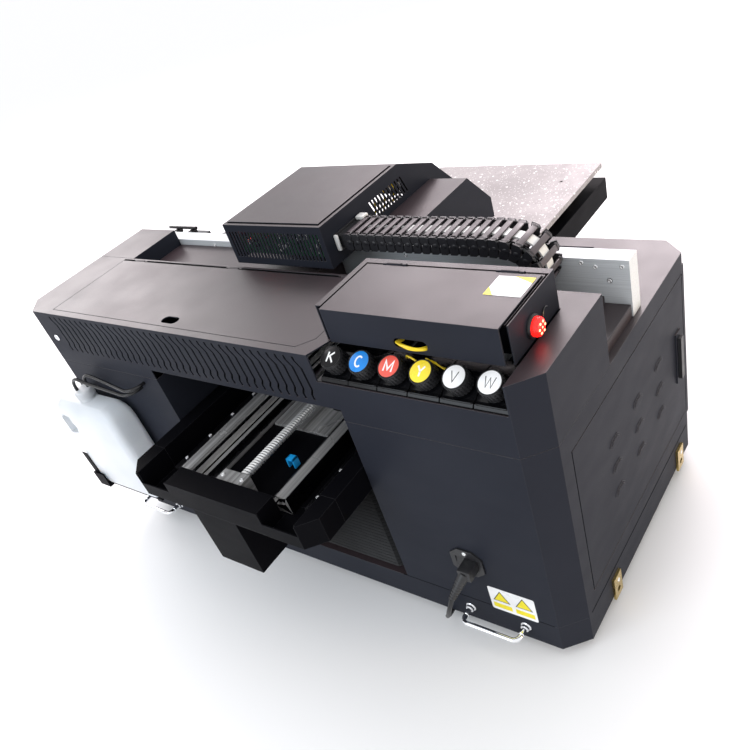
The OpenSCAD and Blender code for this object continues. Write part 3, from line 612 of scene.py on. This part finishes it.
def link(b, place, outward=1.0):
    """One link about its own middle: X along the chain, Z outward, in millimetres."""
    h = CHAIN_H / 2
    for s in (-1, 1):
        y = s * (CHAIN_W / 2 - 1.3)
        outer = [(-6.9, -h), (3.2, -h), (6.6, -h + 3), (6.6, -3), (8.6, 0), (6.6, 3), (6.6, h - 3), (3.2, h),
                 (-6.9, h), (-6.9, 4), (-4.6, 0), (-6.9, -4)]
        b.prism([place @ Vector((mm(x), mm(y - 1.2), mm(z * outward))) for x, z in outer],
                (0, 0, 0), place.to_3x3() @ Vector((0, mm(2.4), 0)))
        inner = y - s * 1.2
        b.box((mm(-3.8), mm(inner - 1.5), mm(-h + 2)), (mm(7.2), mm(inner + 1.5), mm(h - 2)), 0,
              mm(0.6), place)
        b.lathe(pairs_mm([(3.4, 0), (3.4, 0.5), (2.8, 0.9)]),
                place @ turned((mm(1.2), mm(y + s * 0.9), 0), (0, s, 0)), 16)
    for side, wide in ((outward, 4.3), (-outward, 4.0)):
        z = side * (h - 1.2)
        reach = CHAIN_W / 2 - 2
        b.box((mm(-wide), mm(-reach), mm(z - 1.2)), (mm(wide), mm(reach), mm(z + 1.2)), 1, mm(0.6), place)
        for s in (-1, 1):
            y = s * (CHAIN_W / 2 - 5.5)
            b.box((mm(-5.6), mm(y - 2.2), mm(z - 1.2)), (mm(5.6), mm(y + 2.2), mm(z + 1.2)), 0, mm(0.5),
                  place)


def chain_place(x, z, angle):
    """Places a link in the middle of the chain's width, leaning by angle."""
    return Matrix.Translation(at(x, CHAIN_Y0 + CHAIN_W / 2, z)) @ Matrix.Rotation(angle, 4, "Y")


def on_upper_run(d):
    """(x, z, slope) at the distance d from the hood: straight, then drooping towards the bend."""
    straight = DROOP_X - UPPER_X
    if d <= straight:
        return UPPER_X + d, CHAIN_ZU, 0.0
    a = (d - straight) / DROOP_R
    return DROOP_X + DROOP_R * math.sin(a), CHAIN_ZU - DROOP_R * (1 - math.cos(a)), a


def on_bend(t):
    """(x, z, slope) on the tight bend, t from 0 at its top to 1 at its bottom."""
    x, z, a0 = on_upper_run(UPPER_LENGTH)
    r = (z - CHAIN_ZL) / (1 + math.cos(a0))
    a = a0 + (math.pi - a0) * t
    return x + r * (math.sin(a) - math.sin(a0)), z + r * (math.cos(a) - math.cos(a0)), a


def on_lower_run(d):
    """(x, z, slope) at the distance d from the fixed end."""
    return LOWER_X + d, CHAIN_ZL, 0.0


def cables(b, line, outward, pale_from=0.0):
    """Cables inside the chain, and a flat white one that shows between its bars."""
    for dy, dz, r, mat in CABLES:
        b.tube([m @ Vector((0, mm(dy), mm(dz * outward))) for m in line], mm(r), 12, mat)
    strip = line[int(pale_from * (len(line) - 1)):]
    for m, n in zip(strip, strip[1:]):
        verts = [p @ Vector((0, mm(y), mm(z * outward))) for p in (m, n) for y, z in FLAT_CABLE]
        b.add(verts, BLOCK_FACES, 2)


def chain_run(name, where, length, outward, pale_from):
    """The links and cables of one run, whose line is where(distance)."""
    b = Build()
    count = round(length / PITCH)
    for i in range(count):
        link(b, chain_place(*where(length * (i + 0.45) / count)), outward)
    cables(b, [chain_place(*where(length * k / 48)) for k in range(49)], outward, pale_from)
    return b.make(name, "chain", None, True, ("chain_bar", "white", "hose"))


TRAY_FLOOR = 406
TRAY_BLOCKS = (((101.3, 189, 448), (505, 294.5, 450)), ((503, 189, TRAY_FLOOR - 2), (505, 294.5, 449)),
               ((504, 189, TRAY_FLOOR - 2), (953, 294.5, TRAY_FLOOR)),
               ((951, 189, 377.5), (953, 294.5, TRAY_FLOOR - 1)), ((952, 189, 394), (989, 294.5, 396)),
               ((987, 189, 377.5), (989, 294.5, 395)), ((101.3, 189, 377.5), (103.3, 294.5, 449)))


def recess_tray():
    """The sunk tray under the carriage and the chain."""
    b = Build()
    for low, high in TRAY_BLOCKS:
        b.box(at(*low), at(*high))
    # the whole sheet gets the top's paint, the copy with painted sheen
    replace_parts(b.make("recess_tray_sheet", "top", "base", False), "recess_tray")


def drag_chain():
    """The moving upper run, the fixed lower run, and the bend that rolls between them."""
    upper = chain_run("chain_upper_links", on_upper_run, UPPER_LENGTH, 1.0, PALE_FROM)
    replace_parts(upper, "chain_upper")
    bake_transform(upper)
    lower = chain_run("chain_lower_links", on_lower_run, on_bend(1)[0] - LOWER_X, -1.0, 0.0)
    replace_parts(lower, "chain_lower")
    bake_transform(lower)
    bend = Build()
    for i in range(BEND_LINKS):
        link(bend, chain_place(*on_bend((i + 0.5) / BEND_LINKS)), 1.0)
    cables(bend, [chain_place(*on_bend(k / 18)) for k in range(19)], 1.0)
    bend_piece = bend.make("chain_bend_links", "chain", "chain_bend", True,
                           ("chain_bar", "white", "hose"))
    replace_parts(bend_piece, "chain_bend")


recess_tray()
drag_chain()


# ---- ball screw, bellows
SCREW_R, THREAD_DEPTH, THREAD_LEAD, STARTS = 7.95, 1.15, 10.0, 2
THREAD_Y0, THREAD_Y1 = -85.8, 895.8
GROOVE_SHARE = 0.62      # of the pitch
RINGS_PER_PITCH, AROUND = 10, 28


def thread_radius(y, turn):
    """Radius of the thread at y, turn being the share of a full turn."""
    phase = (STARTS * (y / THREAD_LEAD) + STARTS * turn) % 1.0
    if phase >= GROOVE_SHARE:
        return SCREW_R
    return SCREW_R - THREAD_DEPTH * max(0.0, math.sin(math.pi * min(1, phase / GROOVE_SHARE))) ** 0.6


def ball_screw():
    """Ground two-start thread."""
    count = int((THREAD_Y1 - THREAD_Y0) / THREAD_LEAD * STARTS * RINGS_PER_PITCH)
    verts = []
    for i in range(count + 1):
        y = THREAD_Y0 + (THREAD_Y1 - THREAD_Y0) * i / count
        for k in range(AROUND):
            r = thread_radius(y, k / AROUND)
            t = 2 * math.pi * k / AROUND
            verts.append(at(MID_X + r * math.cos(t), y, SCREW_Z + r * math.sin(t)))
    faces = ring_faces(count + 1, AROUND)
    faces += [list(range(AROUND))[::-1], [count * AROUND + k for k in range(AROUND)]]
    obj = piece("ball_screw_thread", verts, faces, "screw", "ball_screw", True)
    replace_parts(obj, "ball_screw")


BELLOWS_Z0, BELLOWS_Z1, PLEATS = 51.2, 244.8, 24
BELLOWS_X0, BELLOWS_X1, BELLOWS_Y0, BELLOWS_Y1, BELLOWS_CORNER = 314, 699, 8, 490, 12
PLEAT_DEPTH, PLEAT_SHAPE = 10, (0.0, 0.72, 1.0, 0.72)


def bellows():
    """Pleated cloth tube between the plinth and the trough."""
    rings = PLEATS * 4 + 1
    verts, n = [], 8
    for i in range(rings):
        z = BELLOWS_Z0 + (BELLOWS_Z1 - BELLOWS_Z0) * i / (PLEATS * 4)
        inset, c = PLEAT_DEPTH * (1 - PLEAT_SHAPE[i % 4]) + 0.3, BELLOWS_CORNER
        x0, x1, y0, y1 = BELLOWS_X0 + inset, BELLOWS_X1 - inset, BELLOWS_Y0 + inset, BELLOWS_Y1 - inset
        loop = [(x0 + c, y0), (x1 - c, y0), (x1, y0 + c), (x1, y1 - c), (x1 - c, y1), (x0 + c, y1),
                (x0, y1 - c), (x0, y0 + c)]
        verts += [at(x, y, z) for x, y in loop]
    obj = piece("lift_bellows_pleats", verts, ring_faces(rings, n), "bellows", None)
    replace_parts(obj, "lift_bellows")
    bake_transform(obj)


ball_screw()
bellows()

# ---- ink caps
TILT = math.radians(30)
CAPS = (("K", "ink_K", "ink_W"), ("C", "ink_C", "ink_W"), ("M", "ink_M", "ink_W"), ("Y", "ink_Y", "ink_W"),
        ("V", "ink_W", "plate_dark"), ("W", "ink_W", "plate_dark"))
# strokes of the plain channel letters, in units of the letter's height
STROKES = {
    "K": [[(-0.3, -0.5), (-0.3, 0.5)], [(0.34, 0.5), (-0.26, -0.02)], [(-0.1, 0.12), (0.38, -0.5)]],
    "C": [[(0.36 * math.cos(math.radians(a)), 0.5 * math.sin(math.radians(a))) for a in range(48, 316, 12)]],
    "M": [[(-0.42, -0.5), (-0.42, 0.5), (0.0, -0.3), (0.42, 0.5), (0.42, -0.5)]],
    "Y": [[(-0.36, 0.5), (0.0, 0.0), (0.36, 0.5)], [(0.0, 0.0), (0.0, -0.5)]],
    "V": [[(-0.36, 0.5), (0.0, -0.5), (0.36, 0.5)]],
    "W": [[(-0.5, 0.5), (-0.25, -0.5), (0.0, 0.4), (0.25, -0.5), (0.5, 0.5)]],
}


def ribbon(b, pts, half, place, z0, z1, mat):
    """A flat stroke with square ends along points in the XY plane."""
    left, right = [], []
    for i, p in enumerate(pts):
        a, c = Vector(pts[max(i - 1, 0)]), Vector(pts[min(i + 1, len(pts) - 1)])
        p = Vector(p)
        d1 = (p - a).normalized() if (p - a).length > 1e-9 else (c - p).normalized()
        d2 = (c - p).normalized() if (c - p).length > 1e-9 else d1
        n1, n2 = Vector((-d1.y, d1.x)), Vector((-d2.y, d2.x))
        n = (n1 + n2).normalized()
        w = min(half / max(0.35, n.dot(n1)), half * 2.2)
        left.append(p + n * w)
        right.append(p - n * w)
    for i in range(len(pts) - 1):
        quad = [left[i], right[i], right[i + 1], left[i + 1]]
        verts = [place @ Vector((q.x, q.y, z)) for z in (z0, z1) for q in quad]
        b.add(verts, BLOCK_FACES, mat)


BOLD, WIDE = "KCMY", "KCM"


def cap_face(i, letter, disc, ink):
    """The disc on one ink cap, its channel letter and the rings round the cap."""
    middle = at(WELL_X + BOTTLE_PITCH * (i + 0.5), 12.5, 473)
    top = Matrix.Translation(middle) @ Matrix.Rotation(TILT, 4, "X")
    b = Build()
    rim = [(15.7, -1.4), (15.7, 0.3), (15.2, 0.8), (14.4, 0.8), (14.0, 0.25)]
    b.lathe(pairs_mm(rim), top, 56, 2)
    b.lathe(pairs_mm([(13.9, 0.2), (13.9, 0.45), (13.6, 0.6)]), top, 56, 0)
    size = mm(13.5 if letter in WIDE else 13)
    half = mm(1.15 if letter in BOLD else 0.55)
    for stroke in STROKES[letter]:
        ribbon(b, [(x * size, y * size) for x, y in stroke], half, top, mm(0.55), mm(0.72), 1)
    for z, r in ((-4.5, 16.45), (-19.0, 16.45), (-10.5, 16.4)):
        ring = [(15.6, z - 0.8), (r, z - 0.5), (r, z + 0.5), (15.6, z + 0.8)]
        b.lathe(pairs_mm(ring), top, 56, 2)
    b.make(f"cap_{i + 1}_face", disc, f"ink_cap_{i + 1}", True, (ink, "gloss"))


def bottle_beads():
    """A moulded bead along each bottle's front edge."""
    b = Build()
    for i in range(len(CAPS)):
        x0 = WELL_X + BOTTLE_PITCH * i
        bead = [at(x0 + 2.6, 6.4, 443.9), at(x0 + 5, 5.2, 444.3), at(x0 + 22.8, 4.9, 444.4),
                at(x0 + 40.6, 5.2, 444.3), at(x0 + 43, 6.4, 443.9)]
        b.tube(smooth_path(bead, 4), mm(1.3), 8)
    b.make("bottle_beads", "gloss", "base")


for number, channel in enumerate(CAPS):
    cap_face(number, *channel)
bottle_beads()


# ---- waste can
def rounded(x0, x1, y0, y1, r, n=7):
    """Outline of a rectangle with round corners, n points to a corner."""
    pts = []
    for cx, cy, a0 in ((x1 - r, y1 - r, 0), (x0 + r, y1 - r, 90), (x0 + r, y0 + r, 180),
                       (x1 - r, y0 + r, 270)):
        pts += [(cx + r * math.cos(math.radians(a0 + 90 * k / (n - 1))),
                 cy + r * math.sin(math.radians(a0 + 90 * k / (n - 1)))) for k in range(n)]
    return pts


CAN_X0, CAN_X1, CAN_Y0, CAN_Y1 = 6.4, 189.6, -60.6, -4.4
# height, how far the wall is drawn in, and corner radius
CAN_LEVELS = ((112, 6, 14), (116, 1.6, 14), (122, 0.2, 14), (180, 0, 14), (240, 0, 14), (280, 0.2, 14),
              (296, 1.6, 14), (306, 5, 15), (314, 11, 15), (318, 18, 12))
CAN_GRIP = ((18, 246), (46, 250), (52, 262), (46, 288), (30, 291), (20, 284))
CAN_NECK, GRIP_RIBS = (91, -25, 316), 36


def can_shell():
    """Blow-moulded can with soft edges and a grip hole through its top left corner."""
    verts, n = [], 0
    for z, inset, r in CAN_LEVELS:
        ring = rounded(CAN_X0 + inset, CAN_X1 - inset * 1.6, CAN_Y0 + inset * 0.8, CAN_Y1 - inset * 0.5,
                       max(4, r - inset * 0.3))
        n = len(ring)
        verts += [at(x, y, z) for x, y in ring]
    last = (len(CAN_LEVELS) - 1) * n
    faces = ring_faces(len(CAN_LEVELS), n) + [list(range(n))[::-1], [last + k for k in range(n)]]
    can = piece("waste_can_shell", verts, faces, "can", "base")
    cutter = Build()
    cutter.prism([at(x, 0, z) for x, z in CAN_GRIP], (0, mm(-80), 0), (0, mm(20), 0))
    tool = cutter.make("cutter", "can", "base", False)
    for kind, values in (("BOOLEAN", {"object": tool, "operation": "DIFFERENCE", "solver": "EXACT"}),
                         ("BEVEL", {"width": mm(3.2), "segments": 4, "angle_limit": math.radians(35)})):
        mod = can.modifiers.new(kind, kind)
        for k, v in values.items():
            setattr(mod, k, v)
    bpy.context.view_layer.update()
    depsgraph = bpy.context.evaluated_depsgraph_get()
    baked = bpy.data.meshes.new_from_object(can.evaluated_get(depsgraph))
    can.modifiers.clear()
    can.data = baked
    bpy.data.objects.remove(tool)
    baked.polygons.foreach_set("use_smooth", [True] * len(baked.polygons))
    baked.set_sharp_from_angle(angle=math.radians(50))
    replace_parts(can, "waste_can")


def can_cap():
    """Neck and ribbed screw cap."""
    b = Build()
    neck = turned(at(*CAN_NECK), (0, 0, 1))
    b.lathe(pairs_mm([(17, 0), (16, 3), (14.5, 4.5), (14.5, 8)]), neck, 40)
    cap = [(15.5, 6.5), (16.9, 7.2), (16.9, 20), (16, 21.6), (14, 22)]
    b.lathe(pairs_mm(cap), neck, 48)
    for k in range(GRIP_RIBS):
        b.box((mm(16.4), mm(-0.5), mm(8)), (mm(17), mm(0.5), mm(19.5)), 0, 0,
              neck @ Matrix.Rotation(2 * math.pi * k / GRIP_RIBS, 4, "Z"))
    b.make("waste_can_cap", "can", "base")


def can_strap():
    """The bracket's lip in front of the can and under it, at the left."""
    b = Build()
    b.box(at(3.4, -62.3, 102), at(19.6, -60.8, 192), 0, mm(0.5))
    b.box(at(3.4, -62.3, 102), at(19.6, -2, 103.6), 0, mm(0.5))
    b.make("can_strap", "trough", "base", False)


can_shell()
can_cap()
can_strap()


# ---- alarm lamp, lock, wires, clips
LAMP, LENS_STUDS, STUD_RADIUS = (962, 86, 499), 6, 6.6


def lamp():
    """Red lens in a black bezel, with lit studs in it, and the wire beside it."""
    face = turned(at(*LAMP), (1, 0, 0))
    b = Build()
    bezel = [(14.2, 0), (14.2, 2.6), (13.2, 4), (11.6, 4)]
    b.lathe(pairs_mm(bezel), face, 48, 1)
    dome = [(11.4, 3), (11.4, 8), (10.4, 10.6), (8, 12), (4, 12.6)]
    b.lathe(pairs_mm(dome), face, 48, 0)
    studs = [(STUD_RADIUS, 2 * math.pi * k / LENS_STUDS) for k in range(LENS_STUDS)] + [(0, 0)]
    for r, a in studs:
        stud = Matrix.Translation((mm(r * math.cos(a)), mm(r * math.sin(a)), 0))
        b.lathe(pairs_mm([(1.7, 11.0), (1.5, 12.7), (0.8, 13.1)]), face @ stud, 14, 2)
    lens = b.make("alarm_lamp_lens", "red_lens", "base", True, ("satin", "led"))
    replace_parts(lens, "alarm_lamp")
    b = Build()
    b.tube(smooth_path([at(962.5, 108, 481), at(963.5, 108, 489), at(963.8, 109, 497), at(963.5, 113, 502),
                        at(963, 119, 503), at(962.4, 124, 500)], 4), mm(0.9), 8)
    b.make("lamp_wire", "hose", "base")


def front_lock():
    """Key lock on the cover and the button below it."""
    b = Build()
    b.lathe(pairs_mm([(6.2, 0), (6.2, 1.2), (5.4, 2), (3.9, 2), (3.7, 0.6)]),
            turned(at(63, 0, 429), (0, -1, 0)), 32)
    b.lathe(pairs_mm([(1.8, 0), (1.8, 1.2), (1.2, 1.5)]), turned(at(30, 0, 330), (0, -1, 0)), 20)
    b.make("front_lock", "chrome", "base")


WIRE_R, SENSOR_WIRES = 0.95, 7


def ink_sensor_wires():
    """Loose bunch of yellow wires over the ink lid's front edge."""
    b = Build()
    for k in range(SENSOR_WIRES):
        z = 495.5 + rnd.uniform(-2.5, 3)
        dx = rnd.uniform(-3, 3)
        wire = [at(812 + k + dx, 33 + k, z + 1), at(818 + dx, 27.5 - 0.4 * k, z + 3.5),
                at(832, 26.2 - 0.5 * k, z + rnd.uniform(-1, 2)), at(846 + dx, 27.2, z - 2),
                at(856 + dx, 33 + k, z - 4)]
        b.tube(smooth_path(wire, 5), mm(WIRE_R), 7)
    b.make("ink_sensor_wires", "yellow", "ink_lid")


def bottle_wires():
    """Yellow wires that loop down behind the ink caps."""
    b = Build()
    for x0, dx in ((815, 0), (818, 1), (843, 0), (848, 2), (851, 4)):
        wire = [at(x0, 36, 470), at(x0 + 4 + dx, 33, 476 - dx), at(x0 + 12, 31.5, 474 - dx),
                at(x0 + 19, 33, 468 - dx), at(x0 + 22, 37, 462)]
        b.tube(smooth_path(wire, 5), mm(WIRE_R), 7)
    b.make("bottle_wires", "yellow", "base")


def cable_clip():
    """Blue clip on the trough's front."""
    b = Build()
    for low, high in (((560, -13, 276), (575, -1, 279)), ((560, -13, 262), (562.5, -1, 279)),
                      ((572.5, -13, 262), (575, -1, 279))):
        b.box(at(*low), at(*high), 0, mm(0.5))
    b.make("cable_clip", "blue", "lift")


lamp()
front_lock()
ink_sensor_wires()
bottle_wires()
cable_clip()


# ---- plates
def front_plate():
    """Plate on the right pedestal with two plain triangles and two bars."""
    b = Build()
    y = -0.1
    outline = rounded(863, 937, 48, 99, 3, 5)
    b.prism([at(x, y, z) for x, z in outline], (0, 0, 0), (0, mm(-0.35), 0), 0)
    for cx in (882, 918):
        tri = [(cx - 14, 70), (cx + 14, 70), (cx, 94)]
        b.prism([at(x, y, z) for x, z in tri], (0, mm(-0.3), 0), (0, mm(-0.5), 0), 2)
        tri = [(cx - 11.6, 71.4), (cx + 11.6, 71.4), (cx, 91.4)]
        b.prism([at(x, y, z) for x, z in tri], (0, mm(-0.4), 0), (0, mm(-0.6), 0), 1)
        b.box(at(cx - 15, y - 0.5, 54), at(cx + 15, y - 0.3, 64), 1)
    b.make("front_plate", "ink_W", "base", False, ("plate_yellow", "plate_dark"))


def lid_plate():
    """Plate on the ink lid with two yellow corners."""
    b = Build()
    z = LID_TOP + 0.1
    b.box(at(906, 88, z), at(953, 128, z + 0.3), 0, mm(0.1))
    for tri in ([(906, 88), (918, 88), (906, 104)], [(953, 128), (928, 128), (953, 117)]):
        b.prism([at(x, y, z + 0.25) for x, y in tri], (0, 0, 0), (0, 0, mm(0.2)), 1)
    b.make("lid_plate", "ink_W", "ink_lid", False, ("plate_yellow",))


front_plate()
lid_plate()


# ---- seals round the lids and the hood's panel
def seal(name, corners, z, width, rise, body):
    """A flat black seal along a closed line of corners."""
    b = Build()
    n = len(corners)
    for i in range(n):
        (x0, y0), (x1, y1) = corners[i], corners[(i + 1) % n]
        d = Vector((x1 - x0, y1 - y0)).normalized() * (width / 2)
        ring = [(x0 - d.y - d.x, y0 + d.x - d.y), (x1 - d.y + d.x, y1 + d.x + d.y),
                (x1 + d.y + d.x, y1 - d.x + d.y), (x0 + d.y - d.x, y0 - d.x - d.y)]
        b.prism([at(x, y, z) for x, y in ring], (0, 0, 0), (0, 0, mm(rise)))
    b.make(name, "seam", body, False)


def slot_painted_shade():
    """Dark sheet behind the wavy slot in the front cover: painted shade of the cover's inside, seen through
    the slot.
    """
    b = Build()
    b.box(at(70, 3.2, 398), at(680, 3.8, 478))
    b.make("slot_painted_shade", "seam", "base", False)


def plinth_seam():
    """Dark line between the plinth and the sheet above it, on the right side and in front."""
    b = Build()
    b.box(at(999.6, 42, 51.2), at(1000.25, 456, 52.6))
    b.box(at(700, -0.25, 51.4), at(962, 0.2, 52.2))
    b.make("plinth_seam", "seam", "base", False)


seal("service_lid_seal", [(80.9, 12.5), (655.7, 12.5), (675.6, 34.6), (675.6, 180.9), (80.9, 180.9)],
     COVER_TOP - 0.45, 2.6, 0.4, "base")
seal("ink_lid_seal", [(703, 37.6), (959.6, 37.6), (959.6, 141.2), (703, 141.2)], LID_TOP - 2.2, 2.4, 0.25,
     "base")
seal("hood_panel_seal", [(372.9, 210.6), (567.2, 210.6), (567.2, 405.4), (372.9, 405.4)], HOOD_TOP, 2.0, 0.3,
     "carriage")
slot_painted_shade()
plinth_seam()


# ---- screws
def socket_screw(b, p, axis, r):
    """Head of a socket screw."""
    place = turned(p, axis, rnd.uniform(0, 6))
    head = [(r, 0), (r, 0.35 * r), (r * 0.86, 0.5 * r), (r * 0.55, 0.5 * r), (r * 0.5, 0.15 * r)]
    b.lathe(pairs_mm(head), place, 18)


RAIL_HOLES, RAIL_PITCH = 17, 57


def rail_screws():
    """Screws along both table rails, and two on the front screw block."""
    b = Build()
    for s in (-1, 1):
        for i in range(RAIL_HOLES):
            socket_screw(b, at(MID_X + s * RAIL_OFFSET, -52 + i * RAIL_PITCH, 263.2), (0, 0, 1), 3.2)
    for x in (486, 527):
        socket_screw(b, at(x, -76, 284), (0, 0, 1), 3.4)
    b.make("rail_screws", "screw", "lift")


def beam_screws():
    """Screws in the gantry beam's front and beside the mains inlet."""
    b = Build()
    for x, z in ((926, 454.5), (945, 449.5), (981, 451.5), (963, 430), (640, 452), (330, 452), (200, 452)):
        socket_screw(b, at(x, BEAM_FRONT + 0.1, z), (0, -1, 0), 3.0)
    for z in (122.5, 163.5):
        socket_screw(b, at(842, -3, z), (0, -1, 0), 3.2)
    b.make("beam_screws", "screw", "base")


def lug_screws():
    """One screw in each mounting lug."""
    b = Build()
    for x, out in ((-4, -1), (1004, 1)):
        for y in (125, 414):
            socket_screw(b, at(x, y, 28), (out, 0, 0), 3.4)
    b.make("lug_screws", "screw", "base")


def handle_collars():
    """Washers where the front handles meet the plinth."""
    b = Build()
    for x, z in ((27, 20), (119, 20), (820.5, 28), (913.6, 28)):
        b.lathe(pairs_mm([(8.6, 0), (8.6, 1.4), (7.8, 2.2), (4.2, 2.2)]),
                turned(at(x, 0, z), (0, -1, 0)), 32)
        b.lathe(pairs_mm([(5.2, -15), (5.2, -17), (4.2, -18)]),
                turned(at(x, 0, z), (0, 1, 0)), 24)
    b.make("handle_collars", "chrome", "base")


rail_screws()
beam_screws()
lug_screws()
handle_collars()


# ---- inside of the hood
BOARD_Y, CHIPS = 222, 46


def hood_board():
    """Circuit board inside the hood, with small parts and lit lamps."""
    b = Build()
    b.box(at(HOOD_X0 + 8, BOARD_Y, 486), at(HOOD_X1 - 8, BOARD_Y + 2, 538), 0)
    for i in range(CHIPS):
        x, z = rnd.uniform(378, 558), rnd.uniform(490, 532)
        w, h, d = rnd.uniform(2, 9), rnd.uniform(2, 7), rnd.uniform(2, 9)
        b.box(at(x, BOARD_Y - d, z), at(x + w, BOARD_Y + 0.2, z + h), rnd.choice((1, 2, 3, 1)), mm(0.3))
    for x, z in ((398, 531), (404, 530), (421, 531), (428, 532), (452, 529)):
        b.lathe(pairs_mm([(1.6, 0), (1.6, 3), (0.9, 4)]),
                turned(at(x, BOARD_Y - 4, z), (0, -1, 0)), 12, 4)
    b.make("hood_board", "board", "carriage", True, ("white", "grey", "gloss", "red_dot"))


def hood_wires():
    """Wires that climb inside the hood's right wall."""
    b = Build()
    for k in range(9):
        y = 330 + 9 * k
        wire = [at(560, y, 470), at(566, y + 5, 492), at(568, y + 12, 508), at(562, y + 18, 526)]
        b.tube(smooth_path(wire, 4), mm(1.5), 8, k % 3)
    b.make("hood_wires", "yellow", "carriage", True, ("hose", "white"))


def hood_clips():
    """White clips where the cables leave the hood."""
    b = Build()
    b.box(at(577, 280, 517.3), at(592, 294, 523), 0, mm(1.6))
    b.box(at(574.6, 224.6, 496), at(581.5, 228.6, 521), 0, mm(1.7))
    b.make("hood_clips", "white", "carriage")


def beam_tube():
    """Short black tube on two brackets behind the beam, at the left."""
    b = Build()
    b.tube([at(30 + 9 * k, 336, 463) for k in range(10)], mm(3.2), 10)
    for x in (48, 92):
        b.box(at(x, 322.2, 452), at(x + 12, 341, 459.6), 0, mm(0.8))
    b.make("beam_tube", "hose", "base")


hood_board()
hood_wires()
hood_clips()
beam_tube()


# ---- stage and light
FLOOR_REACH = 60


def pale_ground():
    """A wide pale floor."""
    mesh = bpy.data.meshes.new("floor")
    corners = [(x * FLOOR_REACH, y * FLOOR_REACH, 0) for x, y in ((-1, -1), (1, -1), (1, 1), (-1, 1))]
    mesh.from_pydata(corners, [], [(0, 1, 2, 3)])
    ground = bpy.data.objects.new("floor", mesh)
    bpy.context.scene.collection.objects.link(ground)
    pale = Mat("pale_floor", (0.93, 0.93, 0.935), 0.7)
    pale.into("Roughness", pale.ramp(pale.noise(3, 2), two(0.68, 0.75)))
    mesh.materials.append(pale.mat)


def studio():
    """Even, nearly white surroundings."""
    world = bpy.data.worlds.new("studio")
    bpy.context.scene.world = world
    world.use_nodes = True
    background = world.node_tree.nodes["Background"]
    background.inputs["Color"].default_value = (0.98, 0.985, 1.0, 1)
    background.inputs["Strength"].default_value = 1.08


def soft_light(name, place, target, size, power, color):
    """A round area light aimed at target."""
    data = bpy.data.lights.new(name, "AREA")
    data.shape, data.size, data.energy, data.color = "DISK", size, power, color
    light = bpy.data.objects.new(name, data)
    light.location = place
    light.rotation_euler = (Vector(target) - Vector(place)).to_track_quat("-Z", "Y").to_euler()
    bpy.context.scene.collection.objects.link(light)


pale_ground()
studio()
soft_light("left_sheen", (-3.0, 0.7, 1.7), (-0.3, -0.2, 0.5), 1.7, 32, (1.0, 0.93, 0.94))
soft_light("back_sheen", (-0.3, 3.1, 2.2), (0.4, 0.1, 0.4), 1.9, 85, (1.0, 0.88, 0.92))
soft_light("hood_sheen", (-1.6, 2.4, 2.6), (0.0, 0.0, 0.5), 1.3, 30, (1.0, 0.88, 0.92))
soft_light("front_fill", (-0.6, -2.6, 1.6), (0, 0, 0.3), 1.8, 22, (0.80, 0.90, 1.0))
soft_light("right_fill", (3.0, 0.4, 0.4), (0.4, 0, 0.05), 1.0, 20, (1.0, 0.66, 0.30))

bpy.context.scene.view_settings.view_transform = "Standard"
